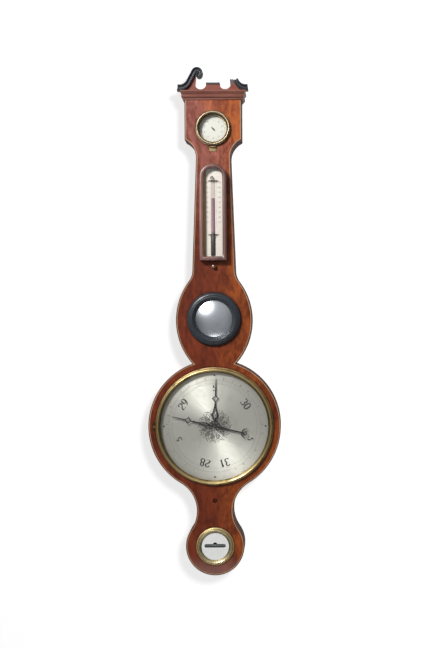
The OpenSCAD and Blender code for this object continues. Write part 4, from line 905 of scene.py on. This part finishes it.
def makeThermometerMarks(s):
    plate = atOrigin, s["face"], paleWax, "thermometer", "silvered"
    heightOf = lambda degrees: s["readingAt"] + (degrees - s["reading"]) * s["perDegree"] - hangAt
    degrees = np.arange(s["low"], s["high"] + 1, 2)
    z = heightOf(degrees)
    reach = np.where(degrees % 10 == 0, s["ten"], s["two"])
    ticks = []
    for side in (-1, 1):
        ticks.append(spots(side * (s["nearX"] + reach[:, None] * np.linspace(0, 1, strokePoints)), z[:, None]))
        ticks.append(spots(side * s["nearX"], np.linspace(z[0], z[-1], strokePoints))[None])
    engrave("degreeTicks", np.vstack(ticks), s["fine"], *plate)
    tens = [numerals(str(ten), s["height"], side * s["numberX"], heightOf(ten), 0.0, *s["weight"])
            for ten in range(10, 91, 10) for side in (-1, 1)]
    engrave("degreeNumbers", *gather(*tens), *plate)
    # hook: up from the tube's top, over to the left and down, x = -r (1 - cos a), z = r sin a
    a = np.linspace(0, 1.25 * pi, 26)
    foot = spots(0.0, s["hookDepth"], s["hookAt"] - hangAt + np.linspace(-1.0, 1.9, 6))
    over = spots(-s["hookR"] * (1 - np.cos(a)), s["hookDepth"],
                    s["hookAt"] + s["hookUp"] + s["hookR"] * np.sin(a) - hangAt)
    grid = tubeGrid(np.vstack([foot, over]) * mm, s["hookWire"] * mm, s["wireSides"])
    addTube("tubeHook", grid, "thermometer", "blued_steel")


# the tube and its spirit as they look, the bore widened by its glass: profiles (radius, height) spun and drawn out
# sideways; at each wire a loop holds the tube over a tapered bar
stemLook = dict(
    axis=-46.0, wide=1.36, wires=(652.5, 755.5), barHalf=10.5, barWide=3.0, barTaper=2.0, barThick=0.9, loopR=3.8,
    loopNear=0.6, loopWire=0.55, loopSteps=30,
    glass=[(0.02, 611.0), (2.6, 611.0), (3.6, 612.5), (3.6, 649.5), (2.8, 652.0), (2.8, 757.5),
           (2.0, 759.5), (0.02, 759.8)],
    spirit=[(0.02, 611.8), (2.4, 611.8), (3.2, 613.0), (3.2, 649.2), (2.5, 651.6), (2.5, 722.0), (0.02, 722.6)])


def makeStem(s):
    for name, node, look in (("glass", "thermo_tube", "stem_glass"), ("spirit", "thermo_spirit", "spirit")):
        grid = turnedGrid(np.array(s[name]), 0.0, s["axis"]) * np.array((s["wide"], 1.0, 1.0))
        piece = addTube("stem" + name.capitalize(), grid, "thermometer", name, finishes[look])
        piece.visible_shadow = False  # light passes both
        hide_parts(node)
    x = np.linspace(-1, 1, strokePoints) * s["barHalf"]
    bars = np.stack([spots(x, z - hangAt) for z in s["wires"]])
    widths = s["barWide"] - s["barTaper"] * (x / s["barHalf"]) ** 2
    wires = engrave("wireBars", bars, widths, atOrigin, scaleMarks["face"], special["thermo_wires"], "thermometer",
                    "brass", s["barThick"])
    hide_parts("thermo_wires")
    a = np.linspace(-0.15 * pi, 1.15 * pi, s["loopSteps"])
    turn = circle(scaleMarks["wireSides"])[None, :, None]
    side, up = np.array((0.0, 0.0, 1.0)), spots(np.cos(a), -np.sin(a), 0.0)[:, None]
    loopY = s["axis"] - (s["loopR"] - s["loopNear"]) * np.sin(a)
    for k, z in enumerate(s["wires"]):
        loop = spots(s["loopR"] * s["wide"] * np.cos(a), loopY, z - hangAt)
        grid = loop[:, None] + s["loopWire"] * (np.cos(turn) * side + np.sin(turn) * up)
        addTube("wireLoop%d" % k, grid * mm, "thermometer", "brass", special["thermo_wires"])


# the rounded front of the thermometer's frame: outlines at a growing inset, raised by rise * (1 - u * u)
frameRoll = dict(bar=7.4, rise=1.3, sunk=0.2, across=15, straight=20, arch=41)


def makeRoll(f):
    low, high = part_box("thermo_frame")
    half, middleX = (high.x - low.x) / 2, (high.x + low.x) / 2
    u = np.linspace(-1, 1, f["across"])
    inset = (0.5 + 0.5 * u)[:, None]
    wide, foot = half - inset * f["bar"] * mm, low.z + inset * f["bar"] * mm
    spring = high.z - half
    share, turn = np.linspace(0, 1, f["straight"])[None, :-1], np.linspace(pi, 0, f["arch"])[None, :-1]
    flat = np.ones_like(share)
    x = np.hstack([-wide * flat, wide * np.cos(turn), wide * flat, wide * (1 - 2 * share)])
    z = np.hstack([foot + (spring - foot) * share, spring + wide * np.sin(turn),
                   spring + (foot - spring) * share, foot * flat])
    y = low.y - f["rise"] * mm * (1 - u[:, None] ** 2)
    bead = spots(x + middleX, y, z)
    back = bead[[-1, 0]] * np.array((1.0, 0.0, 1.0)) + np.array((0.0, low.y + f["sunk"] * mm, 0.0))
    faces = gridFaces(len(u) + 2, x.shape[1], True)
    addPiece("frameRoll", np.vstack([bead, back]), faces, "thermometer", "stained_wood", special["thermo_frame"])


# hygrometer: a hundred fine divisions inside a double ring, tens numbered
hygrometerMarks = dict(
    face=-32.0, ring=21.0, ringGap=2.6, ringWide=0.16, ringParts=48, fine=0.14, tick=1.3, numberAt=17.4, height=2.6,
    weight=(0.06, 0.14))


def makeHygrometerMarks(h):
    plate = centreOf("hygrometer_plate"), h["face"], paleWax, "case", "white_plate"
    k = np.arange(100)
    rings = ringStrokes([h["ring"], h["ring"] + h["ringGap"]], h["ringWide"], h["ringParts"])
    ticks = tickStrokes(k * 3.6, h["ring"], h["ring"] + np.where(k % 10, h["tick"], h["ringGap"]), h["fine"])
    engrave("hygrometerScale", *gather(rings, ticks), *plate)
    tens = [numeralsRound(str(10 * n), h["height"], h["numberAt"], 36 * n, *h["weight"]) for n in range(10)]
    engrave("hygrometerNumbers", *gather(*tens), *plate)


# level: a pale bubble under the top of the vial, an ellipsoid
bubbleLook = dict(long=9.0, tall=1.1, deep=1.5, up=0.9, out=2.1, rows=14, sides=24)


def makeBubble(b):
    at = middle("level_vial") / mm
    u = np.linspace(nearAxis, pi - nearAxis, b["rows"])[:, None]
    v = circle(b["sides"])
    grid = spots(at.x + b["long"] * np.cos(u), at.y - b["out"] + b["deep"] * np.sin(u) * np.cos(v),
                    at.z + b["up"] + b["tall"] * np.sin(u) * np.sin(v)) * mm
    pale = cloudySpirit("spiritBubble", (300.0,), "5d6266", "868a8c", Roughness=0.15)
    addTube("levelBubble", grid, "case", "glass", pale)


makeThermometerMarks(scaleMarks)
makeStem(stemLook)
makeRoll(frameRoll)
makeHygrometerMarks(hygrometerMarks)
makeBubble(bubbleLook)
print("scales and level finished")


# a dark bead of painted shade on the case's rounded edge and a pale line along the case edge: the outline of touching
# arcs at two insets, joined;
# the right-hand side runs from the foot up to the cornice
edgeLook = dict(
    footR=56.0, dialZ=286.0, roundelR=127.0, neckR=62.0, swellZ=489.0, swellHalf=73.0, swellR=126.0, trunkHalf=41.0,
    filletR=35.0, trunkTop=33.0, coveZ=801.0, coveR=38.0, headHalf=54.6, top=912.0, bead=(-0.04, 1.5),
    line=(1.5, 2.9), skin=0.04, front=-38.0, shadeDeep=1.6, lineDeep=0.02)


def turnOf(a, b):  # the way from a to b in degrees
    return np.degrees(np.arctan2(b[1] - a[1], b[0] - a[0]))


def caseSide(o, inset):
    foot, dial = np.array((0.0, o["footR"])), np.array((0.0, o["dialZ"]))
    swell = np.array((o["swellHalf"] - o["swellR"], o["swellZ"]))
    cove = np.array((o["trunkTop"] + o["coveR"], o["coveZ"]))
    a, b, d = o["footR"] + o["neckR"], o["roundelR"] + o["neckR"], o["dialZ"] - o["footR"]
    rise = (d * d + a * a - b * b) / (2 * d)
    neck = foot + np.array((np.sqrt(a * a - rise * rise), rise))
    a, b, d = o["roundelR"] - inset, o["swellR"] - inset, np.linalg.norm(swell - dial)
    u, s = (swell - dial) / d, (d * d + a * a - b * b) / (2 * d)
    waist = dial + s * u + np.sqrt(a * a - s * s) * np.array((u[1], -u[0]))
    out = o["trunkHalf"] + o["filletR"]
    fillet = np.array((out, o["swellZ"] + np.sqrt((o["swellR"] + o["filletR"]) ** 2 - (out - swell[0]) ** 2)))
    reach = np.degrees(np.arccos((cove[0] - o["headHalf"] + inset) / (o["coveR"] + inset)))
    return np.vstack([
        bend(foot, o["footR"] - inset, -90, turnOf(foot, neck), 44),
        bend(neck, o["neckR"] + inset, 180 + turnOf(foot, neck), turnOf(neck, dial), 30)[1:],
        bend(dial, a, turnOf(dial, neck), turnOf(dial, waist), 64)[1:],
        bend(swell, b, turnOf(swell, waist), turnOf(swell, fillet), 32)[1:],
        bend(fillet, o["filletR"] + inset, 180 + turnOf(swell, fillet), 180, 12)[1:],
        bend(cove, o["coveR"] + inset, 180, 180 - reach, 24), [(o["headHalf"] - inset, o["top"])]])


def makeEdge(name, o, insets, deep, slot, material=None):
    outer, inner = (caseSide(o, inset) for inset in insets)
    face, back = o["front"] - o["skin"], o["front"] + deep
    section = [(outer, back), (outer, face), (inner, face), (inner, back)]
    right = np.stack([spots(line[:, 0], y, line[:, 1] - hangAt) for line, y in section], 1)
    left = right[:0:-1] * np.array((-1.0, 1.0, 1.0))
    addTube(name, np.vstack([left, right]) * mm, "case", slot, material, False)


# the dark wood of the bead is painted shade along the rounded edge
edgeShadeWood = woodFinish("edgeShadeWood", 2, 7.7, "2c1913", "4d3026", 0.2, Roughness=0.4, Specular_IOR_Level=0.15)
makeEdge("edgeBead", edgeLook, edgeLook["bead"], edgeLook["shadeDeep"], "ebonised", edgeShadeWood)
makeEdge("edgeLine", edgeLook, edgeLook["line"], edgeLook["lineDeep"], "boxwood")
print("edge bead and line laid")

# the screen lights the backdrop alone, the other lamps the object alone, so the wall keeps one soft shadow;
# the panes take no lamp, which would stand in them as a white disc
panes = ("main_glass", "hygrometer_glass", "thermo_glass")
receivers = {"object": bpy.data.collections.new("object"), "wall": bpy.data.collections.new("backdrop")}
for piece in list(scene.collection.all_objects):
    if piece.type == "MESH" and piece.name not in panes:
        receivers["wall" if piece.name == "wall" else "object"].objects.link(piece)
for lampName, lamp in lamps.items():
    bpy.data.objects[lampName].light_linking.receiver_collection = receivers[lamp["on"]]

bpy.context.view_layer.update()
